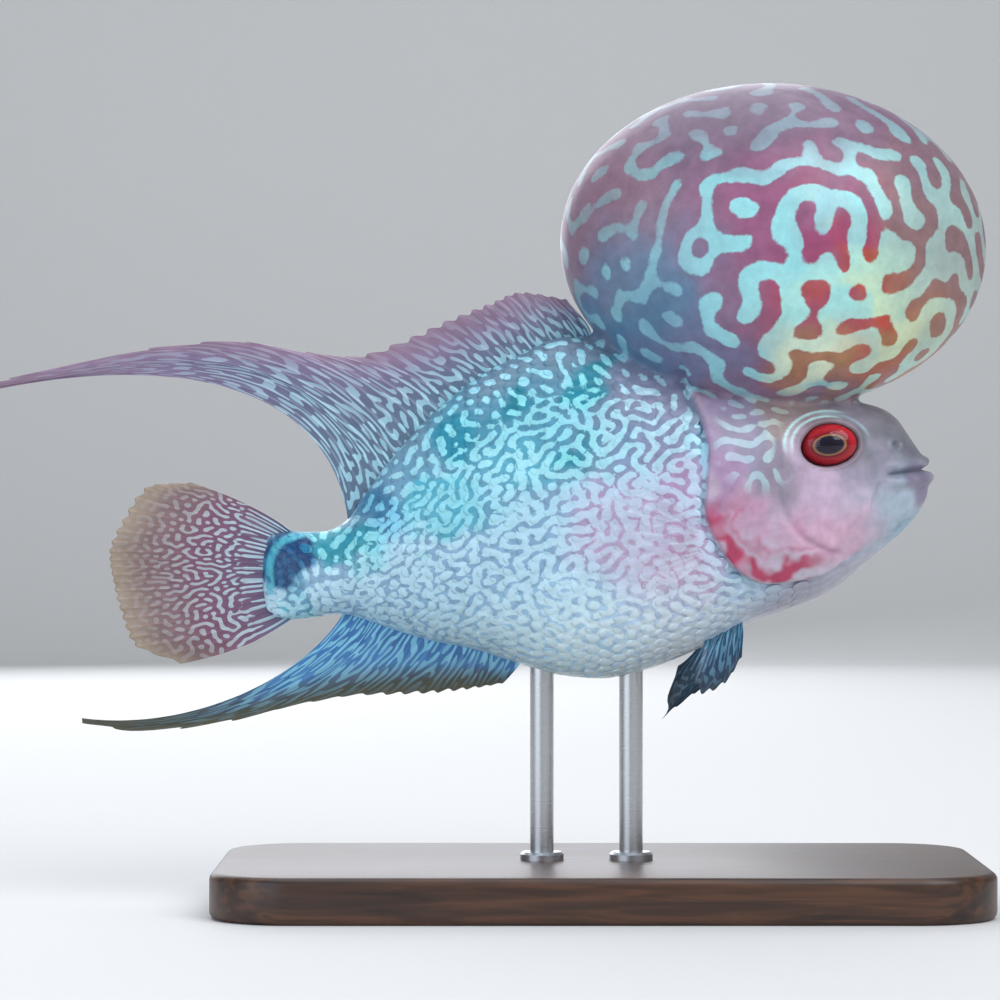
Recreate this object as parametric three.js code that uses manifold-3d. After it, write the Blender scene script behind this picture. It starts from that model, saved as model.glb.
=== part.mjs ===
// A flowerhorn cichlid, life size, as a still museum model on a flat base with two short rods.
// Millimetres. +X runs to the snout, +Z is up and +Y is the fish's left side.
// The floor under the base is Z = 0, and the base is centred on the origin.
import * as THREE from "three";
import { mergeVertices } from "three/addons/utils/BufferGeometryUtils.js";
import Module from "manifold-3d";

const wasm = await Module();
wasm.setup();

// Driving sizes
const GAP = 0.3; // the clear space between neighbouring pieces
const BODY_RINGS = 42;
const RING_POINTS = 28;
const HUMP_RINGS = 26;
const HUMP_POINTS = 32;
const HUMP = {
  centre: [19.0, 0, 72.5],
  length: 46.8,
  width: 31.0,
  height: 35.6,
  lean: 0.04,
  upper_squareness: 2.15,
  lower_squareness: 2.6,
};
const EYE = { centre: [24.6, 50.5], radii: [3.2, 1.9, 2.4], tilt: 0.12, proud: 0.85 };
const EYE_RIM = { wide: 0.75, sunk: 0.95 };
const NOSTRIL = { centre: [32.1, 50.6], radius: 0.36, depth: 0.9 };
const COVER = { proud: 0.3, thick: 1.1 };
const LIP = { upper: 0.62, lower: 0.72 };
const BASE = { length: 84, width: 46, height: 5, corner: 9, edge: 0.8 };
const ROD = { radius: 1.3, xs: [-6.4, 3.4], sink: 6 };
const MEMBRANE = 0.27; // half the thickness of a fin between its rays

// Stations of the fish without its hump, from the tail to the lips:
// place, back height, belly height, half width, squareness of the upper half of the section.
const STATIONS = [
  [-37.2, 41.4, 31.4, 1.0, 2.0],
  [-35.8, 41.5, 31.2, 1.8, 2.0],
  [-33.0, 41.1, 31.4, 2.7, 2.0],
  [-30.6, 41.1, 31.7, 3.4, 1.95],
  [-28.1, 42.1, 32.0, 4.3, 1.85],
  [-25.9, 45.2, 31.4, 5.1, 1.75],
  [-23.1, 49.0, 30.4, 6.1, 1.7],
  [-18.7, 53.8, 29.1, 7.4, 1.7],
  [-13.8, 57.8, 28.1, 8.6, 1.75],
  [-8.8, 60.6, 26.5, 9.5, 1.8],
  [-4.4, 62.4, 25.3, 10.1, 1.85],
  [0.0, 62.6, 24.9, 10.5, 1.95],
  [4.4, 61.3, 25.7, 10.8, 2.05],
  [8.8, 59.7, 27.3, 10.9, 2.2],
  [12.7, 58.2, 29.1, 10.8, 2.35],
  [16.5, 57.1, 31.1, 10.5, 2.5],
  [20.9, 56.2, 32.6, 9.9, 2.6],
  [25.1, 55.7, 34.4, 9.0, 2.6],
  [28.4, 55.3, 36.9, 7.8, 2.5],
  [30.8, 54.7, 39.0, 6.6, 2.4],
  [32.5, 53.6, 40.4, 5.5, 2.35],
  [33.7, 51.9, 41.5, 4.4, 2.3],
  [34.9, 50.2, 43.0, 3.3, 2.2],
  [35.9, 48.6, 44.7, 2.2, 2.1],
];
const WIDEST = 0.52; // how far up each section is widest
const BELLY_SQUARENESS = 2.15;

// Smooth reading of a table whose rows start with their place: no overshoot between rows.
function reader(rows, column) {
  const x = rows.map((r) => r[0]);
  const y = rows.map((r) => r[column]);
  const step = y.slice(1).map((v, i) => (v - y[i]) / (x[i + 1] - x[i]));
  const slope = y.map((_, i) => {
    if (i === 0) return step[0];
    if (i === y.length - 1) return step[i - 1];
    if (step[i - 1] * step[i] <= 0) return 0;
    return (2 * step[i - 1] * step[i]) / (step[i - 1] + step[i]);
  });
  return (at) => {
    const t = Math.min(Math.max(at, x[0]), x[x.length - 1]);
    let i = 0;
    while (i < x.length - 2 && t > x[i + 1]) i += 1;
    const h = x[i + 1] - x[i];
    const s = (t - x[i]) / h;
    return (
      y[i] * (1 + 2 * s) * (1 - s) ** 2 +
      slope[i] * h * s * (1 - s) ** 2 +
      y[i + 1] * s * s * (3 - 2 * s) -
      slope[i + 1] * h * s * s * (1 - s)
    );
  };
}

const backAt = reader(STATIONS, 1);
const bellyAt = reader(STATIONS, 2);
const halfWidthAt = reader(STATIONS, 3);
const squarenessAt = reader(STATIONS, 4);
const TAIL_X = STATIONS[0][0];
const LIP_X = STATIONS[STATIONS.length - 1][0];

// A point of the body's section at x, at an angle round it, with the skin grown outwards.
function sectionPoint(x, angle, grown) {
  const top = backAt(x);
  const bottom = bellyAt(x);
  const middle = bottom + WIDEST * (top - bottom);
  const up = Math.sin(angle) >= 0;
  const power = 2 / (up ? squarenessAt(x) : BELLY_SQUARENESS);
  const reach = (up ? top - middle : middle - bottom) + grown;
  const across = Math.abs(Math.cos(angle)) ** power * Math.sign(Math.cos(angle));
  const rise = Math.abs(Math.sin(angle)) ** power * Math.sign(Math.sin(angle));
  return [x, across * (halfWidthAt(x) + grown), middle + rise * reach];
}

// Half the body's width at a place on its side.
function sideAt(x, z) {
  const top = backAt(x);
  const bottom = bellyAt(x);
  const middle = bottom + WIDEST * (top - bottom);
  const reach = z > middle ? top - middle : middle - bottom;
  const power = z > middle ? squarenessAt(x) : BELLY_SQUARENESS;
  const share = Math.min(Math.abs(z - middle) / reach, 1);
  return halfWidthAt(x) * (1 - share ** power) ** (1 / power);
}

// Geometry to solid and back. A skin whose faces look inwards is turned inside out.
function solidOf(geometry) {
  const bare = geometry.index ? geometry.toNonIndexed() : geometry.clone();
  for (const name of Object.keys(bare.attributes)) {
    if (name !== "position") bare.deleteAttribute(name);
  }
  const merged = mergeVertices(bare, 1e-4);
  const build = (triVerts) => {
    const vertProperties = merged.attributes.position.array;
    const mesh = new wasm.Mesh({ numProp: 3, vertProperties, triVerts });
    mesh.merge();
    return new wasm.Manifold(mesh);
  };
  const faces = new Uint32Array(merged.index.array);
  const solid = build(faces);
  return solid.volume() > 0 ? solid : build(faces.reverse());
}

function largest(solid) {
  return solid.decompose().sort((a, b) => b.volume() - a.volume())[0];
}

function geometryOf(solid) {
  const mesh = largest(solid).getMesh();
  const geometry = new THREE.BufferGeometry();
  geometry.setAttribute("position", new THREE.BufferAttribute(mesh.vertProperties, 3));
  geometry.setIndex(new THREE.BufferAttribute(mesh.triVerts, 1));
  geometry.computeVertexNormals();
  return geometry;
}

// Rings of points joined into one closed skin, each end closed by a fan.
function loft(rings) {
  const count = rings[0].length;
  const positions = rings.flat(2);
  const faces = [];
  for (let i = 0; i < rings.length - 1; i += 1) {
    for (let j = 0; j < count; j += 1) {
      const a = i * count + j;
      const b = i * count + ((j + 1) % count);
      faces.push(a, a + count, b, b, a + count, b + count);
    }
  }
  const ends = [0, rings.length - 1];
  for (const end of ends) {
    const middle = [0, 1, 2].map((k) => rings[end].reduce((sum, p) => sum + p[k], 0) / count);
    const centre = positions.length / 3;
    positions.push(...middle);
    for (let j = 0; j < count; j += 1) {
      const a = end * count + j;
      const b = end * count + ((j + 1) % count);
      faces.push(...(end === 0 ? [centre, a, b] : [centre, b, a]));
    }
  }
  const geometry = new THREE.BufferGeometry();
  geometry.setAttribute("position", new THREE.Float32BufferAttribute(positions, 3));
  geometry.setIndex(faces);
  return solidOf(geometry);
}

// The fish without its hump, grown outwards by a margin.
function bodyOf(grown = 0) {
  const rings = [];
  for (let i = 0; i < BODY_RINGS; i += 1) {
    const t = i / (BODY_RINGS - 1);
    const even = TAIL_X + t * (LIP_X - TAIL_X);
    const x = even + 2.4 * Math.sin(Math.PI * t) * t;
    const ring = [];
    for (let j = 0; j < RING_POINTS; j += 1) {
      const point = sectionPoint(x, (2 * Math.PI * j) / RING_POINTS, grown);
      if (i === 0) point[0] -= grown;
      if (i === BODY_RINGS - 1) point[0] += grown;
      ring.push(point);
    }
    rings.push(ring);
  }
  return loft(rings);
}

// The hump: a ball whose sections across the fish are fuller below, grown by a margin.
function humpOf(grown = 0) {
  const rings = [];
  const turn = new THREE.Vector2();
  for (let i = 1; i < HUMP_RINGS; i += 1) {
    const angle = (Math.PI * i) / HUMP_RINGS;
    const out = Math.sin(angle);
    const ring = [];
    for (let j = 0; j < HUMP_POINTS; j += 1) {
      const round = (2 * Math.PI * j) / HUMP_POINTS;
      const up = Math.sin(round);
      const power = 2 / (up > 0 ? HUMP.upper_squareness : HUMP.lower_squareness);
      const across = Math.sign(Math.cos(round)) * Math.abs(Math.cos(round)) ** power;
      const rise = Math.sign(up) * Math.abs(up) ** power;
      turn.set(-Math.cos(angle) * (HUMP.length / 2 + grown), rise * out * (HUMP.height / 2 + grown));
      turn.rotateAround(new THREE.Vector2(), -HUMP.lean);
      const y = across * out * (HUMP.width / 2 + grown);
      ring.push([HUMP.centre[0] + turn.x, y, HUMP.centre[2] + turn.y]);
    }
    rings.push(ring);
  }
  return loft(rings);
}

// A prism across the fish, from an outline drawn in its side view.
function prism(outline, width = 60) {
  const shape = new THREE.Shape(outline.map(([x, z]) => new THREE.Vector2(x, z)));
  const block = new THREE.ExtrudeGeometry(shape, { depth: width, bevelEnabled: false, steps: 1 });
  block.rotateX(Math.PI / 2);
  block.translate(0, width / 2, 0);
  return solidOf(block);
}

// A thin slab across the fish that follows a line drawn in its side view.
function slab(line, thickness = GAP) {
  const side = line.map(([x, z], i) => {
    const before = line[Math.max(i - 1, 0)];
    const after = line[Math.min(i + 1, line.length - 1)];
    const along = new THREE.Vector2(after[0] - before[0], after[1] - before[1]).normalize();
    return [x, z, -along.y * (thickness / 2), along.x * (thickness / 2)];
  });
  const one = side.map(([x, z, nx, nz]) => [x + nx, z + nz]);
  const other = side.map(([x, z, nx, nz]) => [x - nx, z - nz]).reverse();
  return prism([...one, ...other]);
}

// An outline pushed outwards by a margin, for an outline drawn clockwise or not.
function widened(outline, margin) {
  const count = outline.length;
  const twice = outline.reduce((sum, [x, z], i) => {
    const [nx, nz] = outline[(i + 1) % count];
    return sum + x * nz - nx * z;
  }, 0);
  return outline.map(([x, z], i) => {
    const before = outline[(i + count - 1) % count];
    const after = outline[(i + 1) % count];
    const along = new THREE.Vector2(after[0] - before[0], after[1] - before[1]).normalize();
    const out = Math.sign(twice) * margin;
    return [x + along.y * out, z - along.x * out];
  });
}

// A fin: each ray runs from the base line over two points to the edge line. Its surface stands up
// along the rays and thins from base to edge. Table rows hold the share along the fin, x and z.
function finOf({ base, near, far, edge, lean, rays, rows, root, notch }) {
  const read = [base, near, far, edge].map((table) => [reader(table, 1), reader(table, 2)]);
  const leanAt = reader(lean, 1);
  const columns = rays * 2;
  const skins = [[], []];
  const edgeAt = (i) => new THREE.Vector2(...read[3].map((coordinate) => coordinate(i / columns)));
  for (let i = 0; i <= columns; i += 1) {
    const spread = edgeAt(i + 1).distanceTo(edgeAt(i - 1));
    const cut = notch * Math.min(Math.max(spread - 0.6, 0), 1);
    const points = read.map(([x, z]) => [x(i / columns), z(i / columns)]);
    const onRay = i % 2 === 0;
    for (let j = 0; j <= rows; j += 1) {
      const v = (j / rows) * (onRay ? 1 : 1 - cut);
      const weights = [
        ((1 - 3 * v) * (2 - 3 * v) * (1 - v)) / 2,
        (9 * v * (2 - 3 * v) * (1 - v)) / 2,
        (9 * v * (3 * v - 1) * (1 - v)) / 2,
        (v * (3 * v - 1) * (3 * v - 2)) / 2,
      ];
      const [x, z] = [0, 1].map((k) => weights.reduce((sum, w, n) => sum + w * points[n][k], 0));
      const thick = MEMBRANE + (onRay ? root : root * 0.35) * (1 - v) ** 0.8;
      skins[0].push([x, leanAt(v) - thick, z]);
      skins[1].push([x, leanAt(v) + thick, z]);
    }
  }
  const wide = rows + 1;
  const side = skins[0].length;
  const faces = [];
  const quad = (a, b, c, d) => faces.push(a, b, c, a, c, d);
  for (let i = 0; i < columns; i += 1) {
    for (let j = 0; j < rows; j += 1) {
      const a = i * wide + j;
      quad(a, a + wide, a + wide + 1, a + 1);
      faces.push(side + a, side + a + wide + 1, side + a + wide);
      faces.push(side + a, side + a + 1, side + a + wide + 1);
    }
    const low = i * wide;
    const high = low + rows;
    quad(low, side + low, side + low + wide, low + wide);
    quad(high, high + wide, side + high + wide, side + high);
  }
  for (let j = 0; j < rows; j += 1) {
    const last = columns * wide + j;
    quad(j, j + 1, side + j + 1, side + j);
    quad(last, side + last, side + last + 1, last + 1);
  }
  const geometry = new THREE.BufferGeometry();
  const positions = [...skins[0], ...skins[1]].flat();
  geometry.setAttribute("position", new THREE.Float32BufferAttribute(positions, 3));
  geometry.setIndex(faces);
  return solidOf(geometry);
}

// A round bar along a curve, thinner at its ends.
function barOf(points, radius, sides = 8) {
  const path = new THREE.CatmullRomCurve3(points.map((p) => new THREE.Vector3(...p)));
  const section = new THREE.Shape();
  for (let i = 0; i <= sides; i += 1) {
    const angle = (2 * Math.PI * i) / sides;
    const at = [radius * Math.cos(angle), radius * Math.sin(angle)];
    if (i === 0) section.moveTo(...at);
    else section.lineTo(...at);
  }
  const steps = points.length * 2;
  return solidOf(new THREE.ExtrudeGeometry(section, { steps, bevelEnabled: false, extrudePath: path }));
}

function ballOf([x, y, z], [rx, ry, rz], tilt = 0, across = 18, up = 10) {
  const ball = new THREE.SphereGeometry(1, across, up);
  ball.rotateX(Math.PI / 2);
  ball.scale(rx, ry, rz);
  ball.rotateY(-tilt);
  ball.translate(x, y, z);
  return solidOf(ball);
}

function cylinderAcross([x, y, z], radius, depth) {
  const pin = new THREE.CylinderGeometry(radius, radius, depth, 10);
  pin.translate(x, y, z);
  return solidOf(pin);
}

// The whole fish and its grown copies, from which the pieces are cut
const body = bodyOf();
const bodyClear = bodyOf(GAP);
const bodyProud = bodyOf(COVER.proud);
const bodyUnderCover = bodyOf(COVER.proud - COVER.thick);
const bodyUnderSeat = bodyOf(COVER.proud - COVER.thick - GAP);
const hump = humpOf();
const humpClear = humpOf(GAP);

// The edge of the gill opening, from under the hump down and forward to the throat
const GILL_LINE = [
  [8.8, 66.0],
  [9.0, 55.5],
  [10.4, 52.5],
  [11.0, 49.5],
  [10.8, 46.2],
  [10.6, 43.2],
  [11.1, 40.6],
  [12.4, 38.1],
  [14.5, 35.9],
  [17.3, 34.4],
  [20.5, 33.7],
  [23.6, 32.6],
  [26.5, 31.2],
];
const TAIL_LINE = [
  [-28.1, 50.0],
  [-28.3, 36.9],
  [-28.4, 24.0],
];
const JAW_LINE = [
  [30.9, 47.3],
  [29.9, 45.4],
  [29.0, 41.8],
  [28.4, 33.5],
];
const MOUTH = [
  [30.9, 47.45],
  [33.5, 48.0],
  [35.4, 48.35],
  [39.0, 48.9],
  [39.0, 47.3],
  [35.4, 47.6],
  [33.5, 47.5],
  [30.9, 47.1],
];
const COVER_OUTLINE = [
  [9.7, 55.1],
  [10.9, 52.2],
  [11.4, 49.5],
  [11.2, 46.2],
  [11.0, 43.5],
  [11.7, 41.0],
  [13.0, 38.8],
  [14.8, 36.7],
  [17.6, 35.5],
  [20.9, 35.8],
  [24.2, 36.6],
  [26.6, 38.0],
  [23.6, 39.3],
  [21.4, 40.7],
  [19.8, 42.9],
  [18.9, 45.6],
  [18.7, 49.0],
  [18.5, 52.2],
  [17.3, 55.1],
];

// Gill covers
const coverPrism = prism(COVER_OUTLINE);
const coverSeat = prism(widened(COVER_OUTLINE, GAP)).subtract(bodyUnderSeat);
const covers = bodyProud.intersect(coverPrism).subtract(bodyUnderCover).subtract(humpClear);
const half = (sign) => {
  const block = new THREE.BoxGeometry(200, 100, 200);
  block.translate(0, sign * 50, 40);
  return solidOf(block);
};
const rightSide = half(-1);
const leftSide = half(1);

// Eyes, their sockets and the raised rims round them
function eyeParts(side) {
  const [x, z] = EYE.centre;
  const y = side * (sideAt(x, z) + EYE.proud - EYE.radii[1]);
  const eye = ballOf([x, y, z], EYE.radii, EYE.tilt);
  const socket = ballOf([x, y, z], EYE.radii.map((r) => r + GAP), EYE.tilt);
  const rimRadii = EYE.radii.map((r) => r + EYE_RIM.wide);
  const rim = ballOf([x, y - side * EYE_RIM.sunk, z], rimRadii, EYE.tilt);
  return { eye, socket, rim };
}
const rightEye = eyeParts(-1);
const leftEye = eyeParts(1);

// Lips: each runs round the snout just above or below the mouth line
function lipOf(drop, radius, reach) {
  const height = (x) => 47.3 + (x - 30.9) * 0.15 + drop;
  const right = [31.6, 32.8, 33.9, 34.9].map((x) => [x, -(sideAt(x, 47.4) - radius * 0.3), height(x)]);
  const left = right.map(([x, y, z]) => [x, -y, z]).reverse();
  const front = [
    [reach - 0.25, -1.0, height(reach)],
    [reach, 0, height(reach)],
    [reach - 0.25, 1.0, height(reach)],
  ];
  return barOf([...right, ...front, ...left], radius);
}

// Head, jaw, torso and tail stem
const nostrils = [-1, 1].map((side) => {
  const [x, z] = NOSTRIL.centre;
  const y = side * (sideAt(x, z) - NOSTRIL.depth / 2 + 0.3);
  return cylinderAcross([x, y, z], NOSTRIL.radius, NOSTRIL.depth);
});
const mouth = prism(MOUTH);
const lips = lipOf(0.85, LIP.upper, 35.3).add(lipOf(-0.95, LIP.lower, 36.1)).subtract(mouth);
const headCuts = [coverSeat, rightEye.socket, leftEye.socket, ...nostrils];
let flesh = body.add(rightEye.rim).add(leftEye.rim).subtract(mouth).add(lips);
for (const cut of headCuts) flesh = flesh.subtract(cut);
const fleshPieces = flesh
  .subtract(slab(GILL_LINE))
  .subtract(slab(TAIL_LINE))
  .subtract(slab(JAW_LINE))
  .decompose()
  .filter((piece) => piece.volume() > 5);
const middleX = (piece) => {
  const box = piece.boundingBox();
  return (box.min[0] + box.max[0]) / 2;
};
fleshPieces.sort((a, b) => middleX(a) - middleX(b));
const [tailStem, torso, head, jaw] = fleshPieces;

// Fins of the middle line
const DORSAL = {
  base: [
    [0, -1.3, 63.7],
    [0.12, -4.2, 62.6],
    [0.24, -7.4, 61.2],
    [0.34, -10.4, 59.7],
    [0.44, -13.8, 57.8],
    [0.53, -16.8, 55.7],
    [0.62, -19.5, 53.4],
    [0.7, -21.7, 50.9],
    [0.75, -22.8, 49.7],
    [0.8, -23.6, 48.6],
    [0.84, -24.3, 47.6],
    [1, -27.7, 42.2],
  ],
  near: [
    [0, -2.1, 64.8],
    [0.12, -5.6, 64.6],
    [0.24, -8.9, 63.0],
    [0.34, -12.3, 61.5],
    [0.44, -16.1, 59.5],
    [0.53, -20.0, 57.8],
    [0.62, -23.5, 56.9],
    [0.7, -27.4, 56.5],
    [0.75, -30.2, 56.8],
    [0.8, -33.0, 57.3],
    [0.84, -37.2, 58.4],
    [1, -35.6, 54.6],
  ],
  far: [
    [0, -3.0, 65.8],
    [0.12, -7.0, 66.2],
    [0.24, -10.6, 64.7],
    [0.34, -14.3, 63.1],
    [0.44, -18.6, 61.0],
    [0.53, -23.6, 59.4],
    [0.62, -28.2, 59.4],
    [0.7, -33.9, 60.3],
    [0.75, -39.2, 60.6],
    [0.8, -45.1, 60.7],
    [0.84, -52.6, 59.6],
    [1, -50.8, 58.3],
  ],
  edge: [
    [0, -3.7, 66.7],
    [0.12, -8.6, 67.5],
    [0.24, -12.3, 66.2],
    [0.34, -16.3, 64.6],
    [0.44, -21.4, 62.3],
    [0.53, -27.5, 60.4],
    [0.62, -33.2, 61.0],
    [0.7, -41.1, 62.1],
    [0.75, -49.5, 61.3],
    [0.8, -57.8, 59.5],
    [0.84, -67.7, 57.4],
    [1, -67.7, 56.5],
  ],
  lean: [
    [0, 0],
    [0.4, 0.2],
    [1, 0.9],
  ],
  rays: 28,
  rows: 8,
  root: 0.42,
  notch: 0.05,
};
const ANAL = {
  base: [
    [0, -8.8, 26.6],
    [0.2, -12.9, 28.3],
    [0.38, -16.5, 28.9],
    [0.52, -19.8, 29.5],
    [0.64, -22.6, 30.1],
    [0.74, -24.4, 30.8],
    [0.82, -25.5, 31.1],
    [0.87, -26.2, 31.4],
    [1, -28.3, 32.0],
  ],
  near: [
    [0, -9.3, 25.9],
    [0.2, -13.5, 26.6],
    [0.38, -17.8, 26.8],
    [0.52, -21.8, 26.8],
    [0.64, -25.3, 26.8],
    [0.74, -28.3, 26.4],
    [0.82, -30.0, 26.1],
    [0.87, -33.9, 24.5],
    [1, -34.9, 25.6],
  ],
  far: [
    [0, -10.0, 25.1],
    [0.2, -14.4, 25.1],
    [0.38, -19.4, 24.9],
    [0.52, -24.0, 24.6],
    [0.64, -28.8, 24.0],
    [0.74, -33.9, 22.8],
    [0.82, -38.5, 21.7],
    [0.87, -44.7, 20.4],
    [1, -45.1, 21.3],
  ],
  edge: [
    [0, -10.7, 24.4],
    [0.2, -15.5, 23.6],
    [0.38, -21.1, 23.2],
    [0.52, -26.4, 23.1],
    [0.64, -33.0, 22.1],
    [0.74, -41.8, 20.0],
    [0.82, -50.6, 19.1],
    [0.87, -56.9, 20.0],
    [1, -56.9, 20.6],
  ],
  lean: [
    [0, 0],
    [0.4, -0.1],
    [1, -0.7],
  ],
  rays: 18,
  rows: 8,
  root: 0.42,
  notch: 0.06,
};
const CAUDAL = {
  base: [
    [0, -33.9, 41.1],
    [0.1, -34.1, 40.4],
    [0.25, -34.3, 39.0],
    [0.42, -34.4, 37.6],
    [0.6, -34.4, 36.0],
    [0.78, -34.3, 34.1],
    [0.9, -34.1, 32.8],
    [1, -33.8, 31.5],
  ],
  near: [
    [0, -37.0, 43.1],
    [0.1, -38.0, 42.4],
    [0.25, -38.9, 40.3],
    [0.42, -39.6, 38.1],
    [0.6, -39.6, 35.8],
    [0.78, -38.9, 33.1],
    [0.9, -38.2, 31.2],
    [1, -37.0, 29.5],
  ],
  far: [
    [0, -40.7, 44.9],
    [0.1, -43.0, 44.3],
    [0.25, -44.9, 41.6],
    [0.42, -46.2, 38.5],
    [0.6, -46.0, 35.5],
    [0.78, -45.0, 32.2],
    [0.9, -44.0, 29.8],
    [1, -41.1, 27.8],
  ],
  edge: [
    [0, -45.1, 46.5],
    [0.1, -49.3, 46.3],
    [0.25, -52.4, 42.9],
    [0.42, -54.1, 38.7],
    [0.6, -53.7, 35.4],
    [0.78, -52.6, 31.4],
    [0.9, -51.4, 28.6],
    [1, -46.2, 26.5],
  ],
  lean: [
    [0, 0],
    [0.5, 0.3],
    [1, 1.4],
  ],
  rays: 16,
  rows: 8,
  root: 0.4,
  notch: 0.03,
};

const DORSAL_CUT = [
  [-37.3, 67.0],
  [-36.4, 52.0],
];
const ANAL_CUT = [
  [-38.6, 30.0],
  [-38.4, 15.0],
];

// The pieces of a fin on either side of a cut, the one nearer the tail tip first.
function splitFin(fin, cut) {
  const pieces = fin.subtract(slab(cut)).decompose();
  return pieces.filter((piece) => piece.volume() > 1).sort((a, b) => middleX(a) - middleX(b));
}

const wholeDorsal = finOf(DORSAL).subtract(bodyClear).subtract(humpClear);
const [dorsalTrail, dorsalFin] = splitFin(wholeDorsal, DORSAL_CUT);
const [analTrail, analFin] = splitFin(finOf(ANAL).subtract(bodyClear), ANAL_CUT);
const caudalFin = finOf(CAUDAL).subtract(bodyClear);

// Paired fins are drawn for the left side, and the right one is its mirror with its own swing.
const PELVIC_LEAN = [
  [0, 3.4],
  [0.5, 4.6],
  [1, 5.4],
];
const PELVIC_RIGHT = {
  base: [
    [0, 15.5, 30.9],
    [0.35, 14.4, 30.6],
    [0.65, 13.2, 30.0],
    [0.85, 12.3, 29.6],
    [1, 11.4, 29.1],
  ],
  near: [
    [0, 15.5, 29.7],
    [0.35, 14.3, 28.6],
    [0.65, 12.5, 27.9],
    [0.85, 11.6, 27.7],
    [1, 10.9, 28.2],
  ],
  far: [
    [0, 15.4, 28.6],
    [0.35, 14.0, 26.6],
    [0.65, 11.9, 25.7],
    [0.85, 10.8, 26.1],
    [1, 10.4, 27.3],
  ],
  edge: [
    [0, 15.3, 27.5],
    [0.35, 13.4, 24.6],
    [0.65, 11.0, 23.4],
    [0.85, 10.1, 24.5],
    [1, 10.0, 26.4],
  ],
  lean: PELVIC_LEAN,
  rays: 6,
  rows: 5,
  root: 0.3,
  notch: 0.05,
};
const PELVIC_LEFT = {
  base: [
    [0, 15.5, 30.8],
    [0.4, 14.1, 30.4],
    [0.7, 12.8, 29.7],
    [0.87, 12.0, 29.3],
    [1, 11.4, 29.0],
  ],
  near: [
    [0, 15.2, 28.8],
    [0.4, 12.9, 27.4],
    [0.7, 11.2, 26.4],
    [0.87, 10.6, 27.2],
    [1, 10.6, 27.8],
  ],
  far: [
    [0, 14.7, 26.9],
    [0.4, 11.6, 24.8],
    [0.7, 9.3, 23.2],
    [0.87, 9.2, 25.3],
    [1, 9.7, 26.8],
  ],
  edge: [
    [0, 14.1, 25.2],
    [0.4, 10.1, 22.6],
    [0.7, 7.0, 20.1],
    [0.87, 7.9, 23.6],
    [1, 8.8, 26.1],
  ],
  lean: PELVIC_LEAN,
  rays: 6,
  rows: 6,
  root: 0.3,
  notch: 0.05,
};
const PECTORAL = {
  base: [
    [0, 11.7, 41.2],
    [0.25, 11.6, 40.6],
    [0.5, 11.4, 39.8],
    [0.75, 11.3, 39.0],
    [1, 11.2, 38.3],
  ],
  near: [
    [0, 9.0, 43.2],
    [0.25, 7.6, 42.0],
    [0.5, 7.4, 39.9],
    [0.75, 7.7, 38.0],
    [1, 9.1, 36.6],
  ],
  far: [
    [0, 6.3, 45.0],
    [0.25, 3.6, 43.1],
    [0.5, 3.1, 40.0],
    [0.75, 4.0, 36.7],
    [1, 6.8, 35.1],
  ],
  edge: [
    [0, 3.5, 46.3],
    [0.25, -0.2, 44.0],
    [0.5, -1.3, 39.9],
    [0.75, 0.0, 35.5],
    [1, 4.4, 33.5],
  ],
  lean: [
    [0, 9.9],
    [0.35, 12.0],
    [1, 13.6],
  ],
  rays: 10,
  rows: 6,
  root: 0.12,
  notch: 0.02,
};

const mirrored = (solid) => solid.mirror([0, 1, 0]);

const leftPelvic = finOf(PELVIC_LEFT).subtract(bodyClear);
const rightPelvic = mirrored(finOf(PELVIC_RIGHT)).subtract(bodyClear);
const leftPectoral = finOf(PECTORAL).subtract(bodyClear).subtract(coverPrism);
const rightPectoral = mirrored(leftPectoral);

// Display stand
function roundedPlate({ length, width, height, corner, edge }) {
  const x = length / 2 - edge;
  const y = width / 2 - edge;
  const shape = new THREE.Shape();
  shape.moveTo(-x + corner, -y);
  shape.lineTo(x - corner, -y);
  shape.absarc(x - corner, -y + corner, corner, -Math.PI / 2, 0);
  shape.lineTo(x, y - corner);
  shape.absarc(x - corner, y - corner, corner, 0, Math.PI / 2);
  shape.lineTo(-x + corner, y);
  shape.absarc(-x + corner, y - corner, corner, Math.PI / 2, Math.PI);
  shape.lineTo(-x, -y + corner);
  shape.absarc(-x + corner, -y + corner, corner, Math.PI, Math.PI * 1.5);
  const plate = new THREE.ExtrudeGeometry(shape, {
    depth: height - 2 * edge,
    bevelSize: edge,
    bevelThickness: edge,
    bevelSegments: 2,
    curveSegments: 6,
  });
  plate.translate(0, 0, edge);
  return solidOf(plate);
}

function rodOf(x) {
  const top = bellyAt(x) + ROD.sink;
  const low = BASE.height + GAP;
  const rod = new THREE.CylinderGeometry(ROD.radius, ROD.radius, top - low, 16);
  rod.rotateX(Math.PI / 2);
  rod.translate(x, 0, (top + low) / 2);
  return solidOf(rod).subtract(bodyClear);
}

// The scene graph: one named mesh for each piece, with its own material
const LOOKS = {
  flank: [0x9cc6d0, 0.38],
  crown: [0x94807f, 0.35],
  face: [0xb9a9b5, 0.42],
  cover: [0xcdb0be, 0.4],
  fin: [0x7f8ea6, 0.45],
  clear_fin: [0xb9c3cc, 0.35],
  eye: [0xb8202c, 0.12],
  stand: [0x2b2b2d, 0.45],
  rod: [0xb9bcc0, 0.25],
};
const fish = new THREE.Group();
fish.name = "flowerhorn_cichlid";

function place(name, solid, look) {
  const [color, roughness] = LOOKS[look];
  const metalness = look === "rod" ? 1 : 0;
  const material = new THREE.MeshStandardMaterial({ color, roughness, metalness });
  const mesh = new THREE.Mesh(geometryOf(solid), material);
  mesh.name = name;
  fish.add(mesh);
}

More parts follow.
